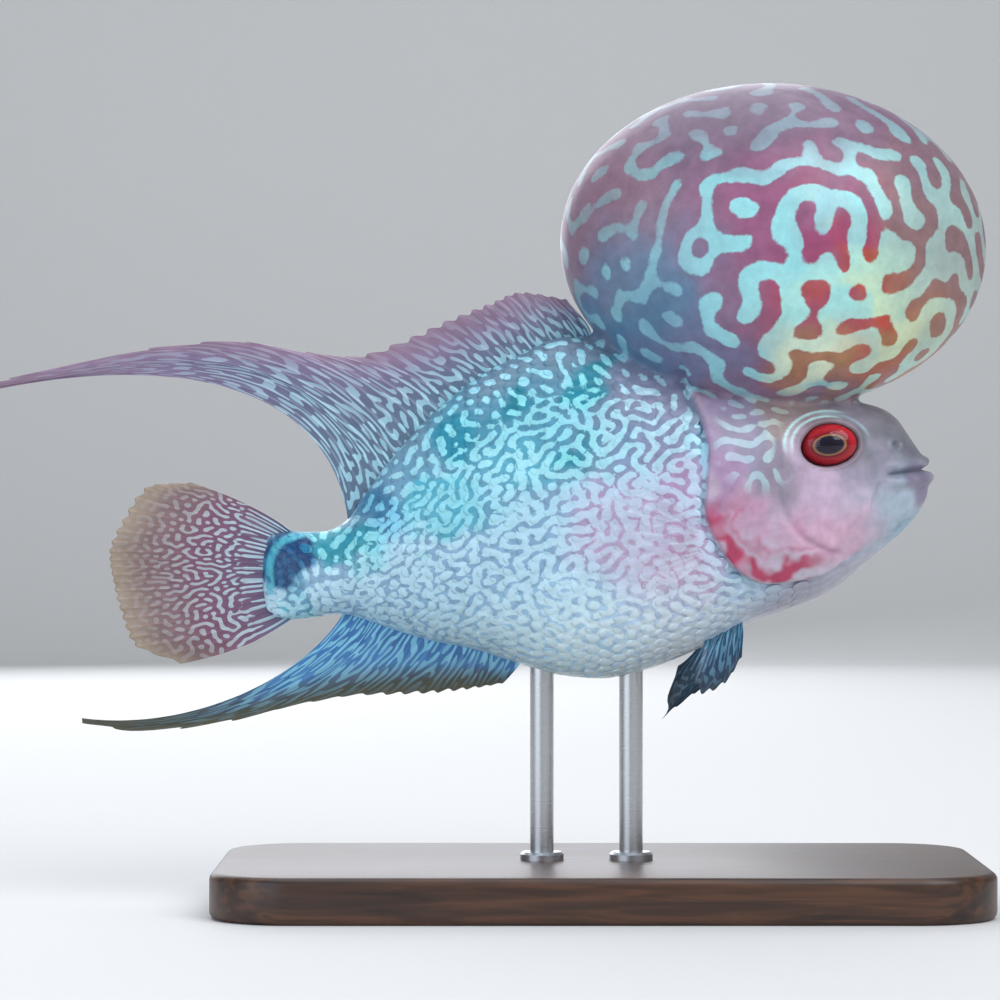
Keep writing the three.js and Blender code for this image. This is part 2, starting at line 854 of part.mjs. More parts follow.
place("nuchal_hump", hump.subtract(bodyClear), "crown");
place("head", head, "face");
place("lower_jaw", jaw, "face");
place("gill_cover_right", covers.intersect(rightSide), "cover");
place("gill_cover_left", covers.intersect(leftSide), "cover");
place("eye_right", rightEye.eye, "eye");
place("eye_left", leftEye.eye, "eye");
place("torso", torso, "flank");
place("tail_stem", tailStem, "flank");
place("dorsal_fin", dorsalFin, "fin");
place("dorsal_fin_trail", dorsalTrail, "fin");
place("anal_fin", analFin, "fin");
place("anal_fin_trail", analTrail, "fin");
place("caudal_fin", caudalFin, "fin");
place("pelvic_fin_right", rightPelvic, "fin");
place("pelvic_fin_left", leftPelvic, "fin");
place("pectoral_fin_right", rightPectoral, "clear_fin");
place("pectoral_fin_left", leftPectoral, "clear_fin");
place("stand_base", roundedPlate(BASE), "stand");
place("stand_rod_back", rodOf(ROD.xs[0]), "rod");
place("stand_rod_front", rodOf(ROD.xs[1]), "rod");

export default fish;
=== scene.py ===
"""Dresses a flowerhorn cichlid, a still life-size model on a display stand, for its render.

Lengths are millimetres until a mesh is made, and metres in the meshes. +X runs to the snout,
+Z is up and +Y is the fish's left side. The fish's middle plane is Y = 0.
"""
import logging
import math
from collections.abc import Sequence
from dataclasses import dataclass, field
from enum import Enum

import bmesh
import bpy
import numpy as np
from bpy.types import ColorRampElements, Material, Mesh, NodeSocket, Object
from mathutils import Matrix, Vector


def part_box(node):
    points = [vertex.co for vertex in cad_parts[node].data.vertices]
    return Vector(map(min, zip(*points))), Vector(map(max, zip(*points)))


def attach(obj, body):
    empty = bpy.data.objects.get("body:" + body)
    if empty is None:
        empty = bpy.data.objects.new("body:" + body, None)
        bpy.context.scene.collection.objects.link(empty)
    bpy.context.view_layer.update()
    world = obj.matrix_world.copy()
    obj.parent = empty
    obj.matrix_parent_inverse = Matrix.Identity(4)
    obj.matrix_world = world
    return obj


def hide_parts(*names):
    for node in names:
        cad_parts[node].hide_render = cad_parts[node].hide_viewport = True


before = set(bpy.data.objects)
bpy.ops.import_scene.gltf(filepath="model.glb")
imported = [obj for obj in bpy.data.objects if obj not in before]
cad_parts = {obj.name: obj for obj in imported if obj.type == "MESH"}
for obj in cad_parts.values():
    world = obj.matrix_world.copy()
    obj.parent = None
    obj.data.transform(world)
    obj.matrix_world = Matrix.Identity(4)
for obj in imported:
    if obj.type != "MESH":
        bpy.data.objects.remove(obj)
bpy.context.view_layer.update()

logging.basicConfig(level=logging.INFO, format="%(message)s")
LOG = logging.getLogger("flowerhorn")
MM = 0.001
SEED = 20

Array = np.ndarray
Points = list[tuple[float, float]]


class Side(Enum):
    """The fish's two sides, by the sign of Y."""

    RIGHT = -1
    LEFT = 1


def linear(hex_colour: str, alpha: float = 1.0) -> tuple[float, float, float, float]:
    """Turns an sRGB hex colour to linear values.

    Args:
        hex_colour: six hex digits after a hash sign.
        alpha: the opacity to add.

    Returns:
        The linear red, green and blue with the opacity.
    """
    channels = [int(hex_colour[i : i + 2], 16) / 255 for i in (1, 3, 5)]
    values = [c / 12.92 if c <= 0.04045 else ((c + 0.055) / 1.055) ** 2.4 for c in channels]
    return (values[0], values[1], values[2], alpha)


def smoothstep(value: Array, low: float, high: float) -> Array:
    """Rises smoothly from 0 at low to 1 at high, or falls where low is the larger."""
    share = np.clip((value - low) / (high - low), 0.0, 1.0)
    return share * share * (3.0 - 2.0 * share)


class Curve:
    """A smooth reading of a table of places and values, with no overshoot between its rows."""

    def __init__(self, places: Sequence[float], values: Sequence[float]) -> None:
        """Keeps the rows and works out a slope at each.

        Args:
            places: rising places along the table.
            values: the value at each place.
        """
        self.x = np.array(places, float)
        self.y = np.array(values, float)
        step = np.diff(self.y) / np.diff(self.x)
        self.slope = np.empty_like(self.y)
        self.slope[0], self.slope[-1] = step[0], step[-1]
        for i in range(1, len(self.y) - 1):
            a, b = step[i - 1], step[i]
            self.slope[i] = 0.0 if a * b <= 0 else 2 * a * b / (a + b)

    def __call__(self, at: Array | float) -> Array:
        """Reads the table at one place or many."""
        t = np.clip(np.asarray(at, float), self.x[0], self.x[-1])
        i = np.clip(np.searchsorted(self.x, t, side="right") - 1, 0, len(self.x) - 2)
        h = self.x[i + 1] - self.x[i]
        s = (t - self.x[i]) / h
        return (
            self.y[i] * (1 + 2 * s) * (1 - s) ** 2
            + self.slope[i] * h * s * (1 - s) ** 2
            + self.y[i + 1] * s * s * (3 - 2 * s)
            - self.slope[i + 1] * h * s * s * (1 - s)
        )


def along_line(x: Array, z: Array, line: Points) -> tuple[Array, Array]:
    """Measures how points in the side view lie to a drawn line.

    Args:
        x: the points' places along the fish.
        z: the points' heights.
        line: the line's corners.

    Returns:
        The distance to the line, positive on its left hand, and the share along it.
    """
    best = np.full(x.shape, 1e9)
    signed = np.zeros(x.shape)
    share = np.zeros(x.shape)
    spans = [math.dist(line[i], line[i + 1]) for i in range(len(line) - 1)]
    total, run = sum(spans), 0.0
    for (ax, az), (bx, bz), span in zip(line, line[1:], spans):
        ux, uz = (bx - ax) / span, (bz - az) / span
        t = np.clip((x - ax) * ux + (z - az) * uz, 0.0, span)
        dx, dz = x - ax - t * ux, z - az - t * uz
        gap = np.hypot(dx, dz)
        near = gap < best
        best = np.where(near, gap, best)
        turn = np.sign(ux * dz - uz * dx)
        signed = np.where(near, gap * np.where(turn == 0, 1, turn), signed)
        share = np.where(near, (run + t) / total, share)
        run += span
    return signed, share


def smooth_line(corners: Points, steps: int = 6) -> Points:
    """Rounds a drawn line through its corners with a smooth curve."""
    places = [float(i) for i in range(len(corners))]
    fine = np.linspace(0, len(corners) - 1, steps * (len(corners) - 1) + 1)
    xs = Curve(places, [c[0] for c in corners])(fine)
    zs = Curve(places, [c[1] for c in corners])(fine)
    return list(zip(xs.tolist(), zs.tolist()))


def drift(points: Array, wavelength: float, seed: int, waves: int = 14) -> Array:
    """Smooth random values over space, mostly between -1 and 1.

    Args:
        points: the places, in millimetres.
        wavelength: the usual distance from one crest to the next.
        seed: which of the many such fields.
        waves: how many plane waves are summed.

    Returns:
        One value for each point.
    """
    rng = np.random.default_rng(seed)
    way = rng.normal(size=(waves, 3))
    length = wavelength * rng.uniform(0.7, 1.5, (waves, 1))
    way *= 2 * math.pi / length / np.linalg.norm(way, axis=1)[:, None]
    phase = rng.uniform(0, 2 * math.pi, waves)
    return np.sin(points @ way.T + phase).sum(axis=1) * 1.4 / math.sqrt(waves)


def swell(distance: Array, width: float) -> Array:
    """A smooth swelling: 1 at no distance, and next to nothing at twice the width."""
    return np.exp(-((distance / width) ** 2))


def turned(x: Array, z: Array, angle: float) -> tuple[Array, Array]:
    """Reads places in the side view on axes that are tilted up towards the snout by an angle."""
    c, s = math.cos(angle), math.sin(angle)
    return x * c + z * s, z * c - x * s


def oval(x: Array, z: Array, centre: tuple[float, float], radii: tuple[float, float],
         tilt: float = 0.0) -> Array:
    """How far out of an oval in the side view points lie: 0 in its middle, 1 on its edge."""
    u, w = turned(x - centre[0], z - centre[1], tilt)
    return np.hypot(u / radii[0], w / radii[1])


def signed_power(value: Array, power: Array) -> Array:
    """Raises values to a power and keeps their signs, for a squarer or a slimmer round."""
    return np.sign(value) * np.abs(value) ** power


def lay_colour(ground: Array, colour: str, weight: Array) -> None:
    """Lays a colour over a ground, as strongly as the weight says at each point."""
    share = weight[:, None]
    ground[:] = ground * (1 - share) + np.array(linear(colour)[:3]) * share


class Pigment:
    """Spots and winding lines that grow as pigment cells do: near ones help, far ones hinder."""

    # how many times the near cells' reach goes into the distance from line to line
    spread: float = 6.54
    # how sharply the cells turn pale or dark, on a grid and on a mesh, and how hard they push
    gain: float = 4.0
    mesh_gain: float = 2.5
    push: float = 2.1

    @classmethod
    def on_grid(cls, shape: tuple[int, int], period: float, seed: int, stretch: float = 1.0,
                slant: float = 0.0, bias: float = 0.0, rounds: int = 12) -> Array:
        """Grows a pattern on a flat grid that joins up with itself at its edges.

        Args:
            shape: the grid's size.
            period: the distance from line to line, in cells.
            seed: which of the many such patterns.
            stretch: how much longer the marks are than wide.
            slant: the angle of the long way, from the second axis towards the first.
            bias: above zero for wider marks, below it for separate spots.
            rounds: how often the cells react.

        Returns:
            The field, high on the marks and low between them.
        """
        field = np.random.default_rng(seed).uniform(-1, 1, shape)
        ky, kx = np.meshgrid(np.fft.fftfreq(shape[0]), np.fft.fftfreq(shape[1]), indexing="ij")
        c, s = math.cos(slant), math.sin(slant)
        square = ((kx * c + ky * s) ** 2 * stretch**2 + (ky * c - kx * s) ** 2) * 4 * math.pi**2
        sigma = period / cls.spread
        near, far = np.exp(-square * sigma**2 / 2), np.exp(-square * sigma**2 * 2)
        for _ in range(rounds):
            push = np.fft.ifft2(np.fft.fft2(field) * (near - far)).real
            field = np.tanh(cls.gain * (push * cls.push + bias))
        return np.fft.ifft2(np.fft.fft2(field) * np.exp(-square * sigma**2 / 5)).real

    @classmethod
    def on_mesh(cls, mesh: Mesh, spacing: float, period: float, bias: Array,
                seed: int, rounds: int = 14) -> Array:
        """Grows a pattern over a mesh of evenly spaced vertices.

        Args:
            mesh: the mesh.
            spacing: the distance from vertex to vertex, in millimetres.
            period: the distance from line to line, in millimetres.
            bias: for each vertex, above zero for wider marks.
            seed: which of the many such patterns.
            rounds: how often the cells react.

        Returns:
            The field, one value for each vertex.
        """
        count = len(mesh.vertices)
        pairs = np.empty(len(mesh.edges) * 2, int)
        mesh.edges.foreach_get("vertices", pairs)
        a, b = pairs[0::2], pairs[1::2]
        degree = np.maximum(np.bincount(a, minlength=count) + np.bincount(b, minlength=count), 1)

        def spread(values: Array) -> Array:
            """Averages each vertex's neighbours."""
            total = np.bincount(a, values[b], count) + np.bincount(b, values[a], count)
            return 0.5 * values + 0.5 * total / degree

        near_steps = max(round(4 * (period / cls.spread / spacing) ** 2), 1)
        field = np.random.default_rng(seed).uniform(-1, 1, count)
        for _ in range(rounds):
            near = field
            for _ in range(near_steps):
                near = spread(near)
            far = near
            for _ in range(3 * near_steps):
                far = spread(far)
            field = np.tanh(cls.mesh_gain * ((near - far) * cls.push + bias))
        return spread(spread(field))

    @staticmethod
    def read(grid: Array, rows: Array, columns: Array) -> Array:
        """Reads a grid between its cells, joined up at its edges."""
        i, j = np.floor(rows).astype(int), np.floor(columns).astype(int)
        a, b = rows - i, columns - j
        tall, wide = grid.shape
        i0, i1, j0, j1 = i % tall, (i + 1) % tall, j % wide, (j + 1) % wide
        return ((grid[i0, j0] * (1 - a) + grid[i1, j0] * a) * (1 - b)
                + (grid[i0, j1] * (1 - a) + grid[i1, j1] * a) * b)


@dataclass
class FishForm:
    """The shape of the fish: its body sections and the ball of its hump."""

    # place, back height, belly height, half width, squareness of the upper half
    stations: list[tuple[float, float, float, float, float]] = field(
        default_factory=lambda: [
            (-37.2, 38.6, 33.8, 0.45, 2.0),
            (-36.4, 40.3, 32.3, 0.9, 2.0),
            (-35.4, 41.1, 31.4, 1.7, 2.0),
            (-33.0, 41.1, 31.4, 2.7, 2.0),
            (-30.6, 41.1, 31.7, 3.4, 1.95),
            (-28.1, 42.1, 32.0, 4.3, 1.85),
            (-25.9, 45.2, 31.4, 5.1, 1.75),
            (-23.1, 49.0, 30.4, 6.1, 1.7),
            (-18.7, 53.8, 29.1, 7.4, 1.7),
            (-13.8, 57.8, 28.1, 8.6, 1.75),
            (-8.8, 60.6, 26.5, 9.5, 1.8),
            (-4.4, 62.4, 25.3, 10.1, 1.85),
            (0.0, 62.6, 24.9, 10.5, 1.95),
            (4.4, 61.3, 25.7, 10.8, 2.05),
            (8.8, 59.7, 27.3, 10.9, 2.2),
            (12.7, 58.2, 29.1, 10.8, 2.35),
            (16.5, 57.1, 31.1, 10.5, 2.5),
            (20.9, 56.2, 32.6, 9.9, 2.6),
            (25.1, 55.7, 34.4, 9.0, 2.6),
            (28.4, 55.3, 36.9, 7.8, 2.5),
            (30.8, 54.7, 39.0, 6.6, 2.4),
            (32.5, 53.6, 40.4, 5.5, 2.35),
            (33.7, 51.9, 41.5, 4.4, 2.3),
            (34.9, 50.2, 43.0, 3.3, 2.2),
            (35.9, 48.6, 44.7, 2.2, 2.1),
        ]
    )
    widest: float = 0.52
    belly_squareness: float = 2.15
    hump_centre: tuple[float, float, float] = (19.0, 0.0, 72.5)
    hump_size: tuple[float, float, float] = (46.8, 31.0, 35.6)
    hump_lean: float = 0.04
    hump_squareness: tuple[float, float] = (2.15, 2.6)

    def __post_init__(self) -> None:
        """Makes a smooth reading of each column of the stations."""
        places = [row[0] for row in self.stations]
        columns = [Curve(places, [row[k] for row in self.stations]) for k in range(1, 5)]
        self.back, self.belly, self.half_width, self.squareness = columns
        self.tail_x, self.lip_x = places[0], places[-1]

    def middle(self, x: Array | float) -> Array:
        """The height at which the body is widest."""
        return self.belly(x) + self.widest * (self.back(x) - self.belly(x))

    def half(self, x: Array, up: Array) -> tuple[Array, Array]:
        """The squareness and the height of the section's upper or lower half."""
        middle = self.middle(x)
        squareness = np.where(up, self.squareness(x), self.belly_squareness)
        return squareness, np.where(up, self.back(x) - middle, middle - self.belly(x))

    def section(self, x: Array, angle: Array) -> Array:
        """Points of the body's skin.

        Args:
            x: places along the fish.
            angle: angles round the section, 0 on the left side and a quarter turn on the back.

        Returns:
            The points, with x, y and z in the last axis.
        """
        squareness, reach = self.half(x, np.sin(angle) >= 0)
        across = signed_power(np.cos(angle), 2 / squareness) * self.half_width(x)
        rise = signed_power(np.sin(angle), 2 / squareness) * reach
        return np.stack([x + 0 * angle, across, self.middle(x) + rise], -1)

    def angle_of(self, x: Array, y: Array, z: Array) -> Array:
        """The angle up or down one side of the section, a quarter turn at the back or belly."""
        middle = self.middle(x)
        up = z >= middle
        squareness, reach = self.half(x, up)
        rise = (np.abs(z - middle) / reach) ** (squareness / 2)
        across = (np.abs(y) / self.half_width(x)) ** (squareness / 2)
        return np.where(up, 1, -1) * np.arctan2(rise, across)

    def side(self, x: Array | float, z: Array | float) -> Array:
        """Half the body's width at places on its side."""
        x, z = np.asarray(x, float), np.asarray(z, float)
        middle = self.middle(x)
        squareness, reach = self.half(x, z >= middle)
        share = np.clip(np.abs(z - middle) / reach, 0, 1)
        return self.half_width(x) * (1 - share**squareness) ** (1 / squareness)

    def hump_reach(self, x: Array, y: Array, z: Array) -> Array:
        """How far out of the hump's middle points lie: 1 on its skin, less inside."""
        cx, cy, cz = self.hump_centre
        length, width, height = (size / 2 for size in self.hump_size)
        along, up = turned(x - cx, z - cz, -self.hump_lean)
        u, w = along / length, up / height
        power = np.where(w > 0, *self.hump_squareness)
        ring = (np.abs((y - cy) / width) ** power + np.abs(w) ** power) ** (2 / power)
        return np.sqrt(u * u + ring)


def mesh_object(name: str, verts: list, faces: list) -> Object:
    """Makes an object from vertices in metres and faces, and turns its faces outwards."""
    mesh = bpy.data.meshes.new(name)
    mesh.from_pydata(verts, [], faces)
    piece = bpy.data.objects.new(name, mesh)
    bpy.context.scene.collection.objects.link(piece)
    face_outwards(mesh)
    return piece


def face_outwards(mesh: Mesh) -> None:
    """Turns a mesh's faces outwards and shades them smooth."""
    work = bmesh.new()
    work.from_mesh(mesh)
    bmesh.ops.recalc_face_normals(work, faces=work.faces)
    work.to_mesh(mesh)
    work.free()
    shade_smooth(mesh)


def shade_smooth(mesh: Mesh) -> None:
    """Shades every face smooth."""
    mesh.polygons.foreach_set("use_smooth", [True] * len(mesh.polygons))


def close_rings(rings: Array, name: str) -> Object:
    """Joins rings of points, in millimetres, into one closed mesh object.

    Args:
        rings: an array of rings by points by three.
        name: the new object's name.

    Returns:
        The object, with its faces pointing outwards.
    """
    count, around = rings.shape[:2]
    faces = []
    for i in range(count - 1):
        for j in range(around):
            low, high = i * around, (i + 1) * around
            k = (j + 1) % around
            faces.append((low + j, low + k, high + k, high + j))
    faces.append(tuple(range(around))[::-1])
    faces.append(tuple((count - 1) * around + j for j in range(around)))
    return mesh_object(name, (rings.reshape(-1, 3) * MM).tolist(), faces)


def only(piece: Object) -> None:
    """Makes one object the active one and the only one selected."""
    bpy.ops.object.select_all(action="DESELECT")
    piece.select_set(True)
    bpy.context.view_layer.objects.active = piece


def apply_modifier(piece: Object, kind: str, **settings: float | str) -> None:
    """Adds one modifier with its settings and applies it."""
    only(piece)
    modifier = piece.modifiers.new(kind.lower(), kind)
    for key, value in settings.items():
        setattr(modifier, key, value)
    bpy.ops.object.modifier_apply(modifier=modifier.name)


def read_vertices(mesh: Mesh) -> Array:
    """Reads the vertices' places in millimetres."""
    flat = np.empty(len(mesh.vertices) * 3)
    mesh.vertices.foreach_get("co", flat)
    return flat.reshape(-1, 3) / MM


def read_normals(mesh: Mesh) -> Array:
    """Reads the way each vertex faces."""
    flat = np.empty(len(mesh.vertices) * 3)
    mesh.vertex_normals.foreach_get("vector", flat)
    return flat.reshape(-1, 3)


def write_vertices(mesh: Mesh, places: Array) -> None:
    """Writes the vertices' places, given in millimetres."""
    mesh.vertices.foreach_set("co", (places * MM).reshape(-1))
    mesh.update()


def write_values(mesh: Mesh, name: str, *values: Array) -> None:
    """Writes up to three values for each vertex, as a colour that the materials read."""
    full = np.ones((len(mesh.vertices), 4), np.float32)
    for channel, column in enumerate(values):
        full[:, channel] = column
    layer = mesh.color_attributes.new(name, "FLOAT_COLOR", "POINT")
    layer.data.foreach_set("color", full.reshape(-1))


def write_map(mesh: Mesh, name: str, spots: Array) -> None:
    """Writes a UV map from one place for each vertex."""
    layer = mesh.uv_layers.new(name=name)
    corners = np.empty(len(mesh.loops), int)
    mesh.loops.foreach_get("vertex_index", corners)
    layer.uv.foreach_set("vector", spots[corners].astype(np.float32).reshape(-1))


# The scales' spacing in millimetres, along the fish and round its side, where they are largest
SCALE_LENGTH = 1.5
SCALE_ROW = 1.36


class ScaleRows:
    """The lie of the scales: columns along the fish and rows round its side."""

    stops: int = 160
    turns: int = 180
    # the scales' size, as a share of the largest, at the tail's end and at these places
    size_places: tuple[float, ...] = (-26, -5, 20)
    sizes: tuple[float, ...] = (0.78, 0.86, 1.0, 1.0)

    def __init__(self, form: FishForm) -> None:
        """Measures the girth of the body at many places.

        Args:
            form: the shape of the fish.
        """
        self.form = form
        self.places = np.linspace(form.tail_x, form.lip_x, self.stops)
        self.angles = np.linspace(-math.pi / 2, math.pi / 2, self.turns + 1)
        points = form.section(*np.meshgrid(self.places, self.angles, indexing="ij"))
        steps = np.linalg.norm(np.diff(points, axis=1), axis=2)
        girth = np.pad(np.cumsum(steps, axis=1), ((0, 0), (1, 0)))
        self.girth = girth - girth[:, [self.turns // 2]]
        size = np.interp(self.places, (form.tail_x, *self.size_places), self.sizes)
        self.size = Curve(self.places.tolist(), size.tolist())
        run = np.pad(np.cumsum(np.diff(self.places) / (SCALE_LENGTH * size[1:])), (1, 0))
        self.column = Curve(self.places.tolist(), run.tolist())
        self.place_of_column = Curve(run.tolist(), self.places.tolist())

    def stop(self, x: Array | float) -> Array:
        """The stop at a place along the fish, counted from the tail, with its share to the next."""
        step = self.places[1] - self.places[0]
        return np.clip((x - self.places[0]) / step, 0, self.stops - 1.001)

    def lie(self, x: Array, y: Array, z: Array) -> Array:
        """Where points lie in columns and rows of scales.

        Args:
            x: places along the fish.
            y: places across it.
            z: heights.

        Returns:
            The column and the row of each point, as an array of two columns.
        """
        angle = self.form.angle_of(x, y, z)
        stop = self.stop(x)
        turn = np.clip((angle + math.pi / 2) / math.pi * self.turns, 0, self.turns - 0.001)
        i, j = stop.astype(int), turn.astype(int)
        a, b = stop - i, turn - j
        low = self.girth[i, j] * (1 - b) + self.girth[i, j + 1] * b
        high = self.girth[i + 1, j] * (1 - b) + self.girth[i + 1, j + 1] * b
        arc = low * (1 - a) + high * a
        return np.stack([self.column(x), arc / (SCALE_ROW * self.size(x))], -1)

    def point(self, column: float, row: float) -> Array:
        """The skin's point at a column and row, on the left side."""
        x = float(self.place_of_column(column))
        stop = float(self.stop(x))
        i = int(stop)
        girth = self.girth[i] * (1 - stop + i) + self.girth[i + 1] * (stop - i)
        angle = np.interp(row * SCALE_ROW * float(self.size(x)), girth, self.angles)
        return self.form.section(np.array(x), np.array(angle))

    def rows_at(self, x: float) -> tuple[float, float]:
        """The lowest and the highest row at a place along the fish."""
        i = int(np.clip(np.searchsorted(self.places, x), 0, self.stops - 1))
        unit = SCALE_ROW * float(self.size(x))
        return self.girth[i, 0] / unit, self.girth[i, -1] / unit


@dataclass(frozen=True)
class Patch:
    """A soft patch of colour on the skin, seen from the side."""

    centre: tuple[float, float]
    radii: tuple[float, float]
    ground: str
    mark: str | None = None
    strength: float = 1.0
    softness: float = 0.6
    tilt: float = 0.0
    islands: int = 0

    def cover(self, x: Array, z: Array, points: Array) -> Array:
        """How strongly the patch covers each point.

        Args:
            x: the points' places along the fish, already shaken for a ragged edge.
            z: the points' heights, shaken alike.
            points: the points themselves, for patches that break up into islands.

        Returns:
            One share for each point, from 0 to the patch's strength.
        """
        away = oval(x, z, self.centre, self.radii, self.tilt)
        share = smoothstep(away, 1 + self.softness, 1 - self.softness) * self.strength
        if self.islands:
            share = share * smoothstep(drift(points, 6.5, self.islands), -0.45, 0.25)
        return share


# Outlines in the side view, in millimetres
MOUTH_CORNER = (30.9, 47.25)
MOUTH_RISE = 0.15
EYE_CENTRE = (24.6, 50.5)
EYE_RADII = (3.2, 2.4)
EYE_TILT = 0.12
NOSTRIL = (32.1, 50.6)
COVER_EDGE: Points = [
    (8.4, 60.5), (9.9, 55.6), (10.9, 52.2), (11.4, 49.5), (11.2, 46.2), (11.0, 43.5), (11.7, 41.0),
    (13.0, 38.8), (14.8, 36.7), (17.6, 35.5), (20.9, 35.8), (24.2, 36.6), (26.8, 38.2),
]
CHEEK_CREASE: Points = [
    (17.2, 55.0), (18.5, 52.2), (18.7, 49.0), (18.9, 45.6), (19.8, 42.9), (21.4, 40.7),
    (23.6, 39.3), (26.8, 38.4),
]
THROAT_FOLD: Points = [(14.5, 34.6), (17.3, 34.0), (20.5, 34.0), (23.6, 34.9), (27.5, 37.4)]
TAIL_SPOT = (-34.4, 38.0)
TAIL_SPOT_RADII = (1.9, 3.6)
TAIL_ARC: Points = [(-32.4, 41.0), (-35.2, 39.8), (-36.3, 37.2), (-36.1, 34.6), (-34.6, 32.4)]
JAW_CREASE: Points = [(30.6, 46.8), (29.8, 45.0), (29.2, 42.0), (28.6, 39.4)]


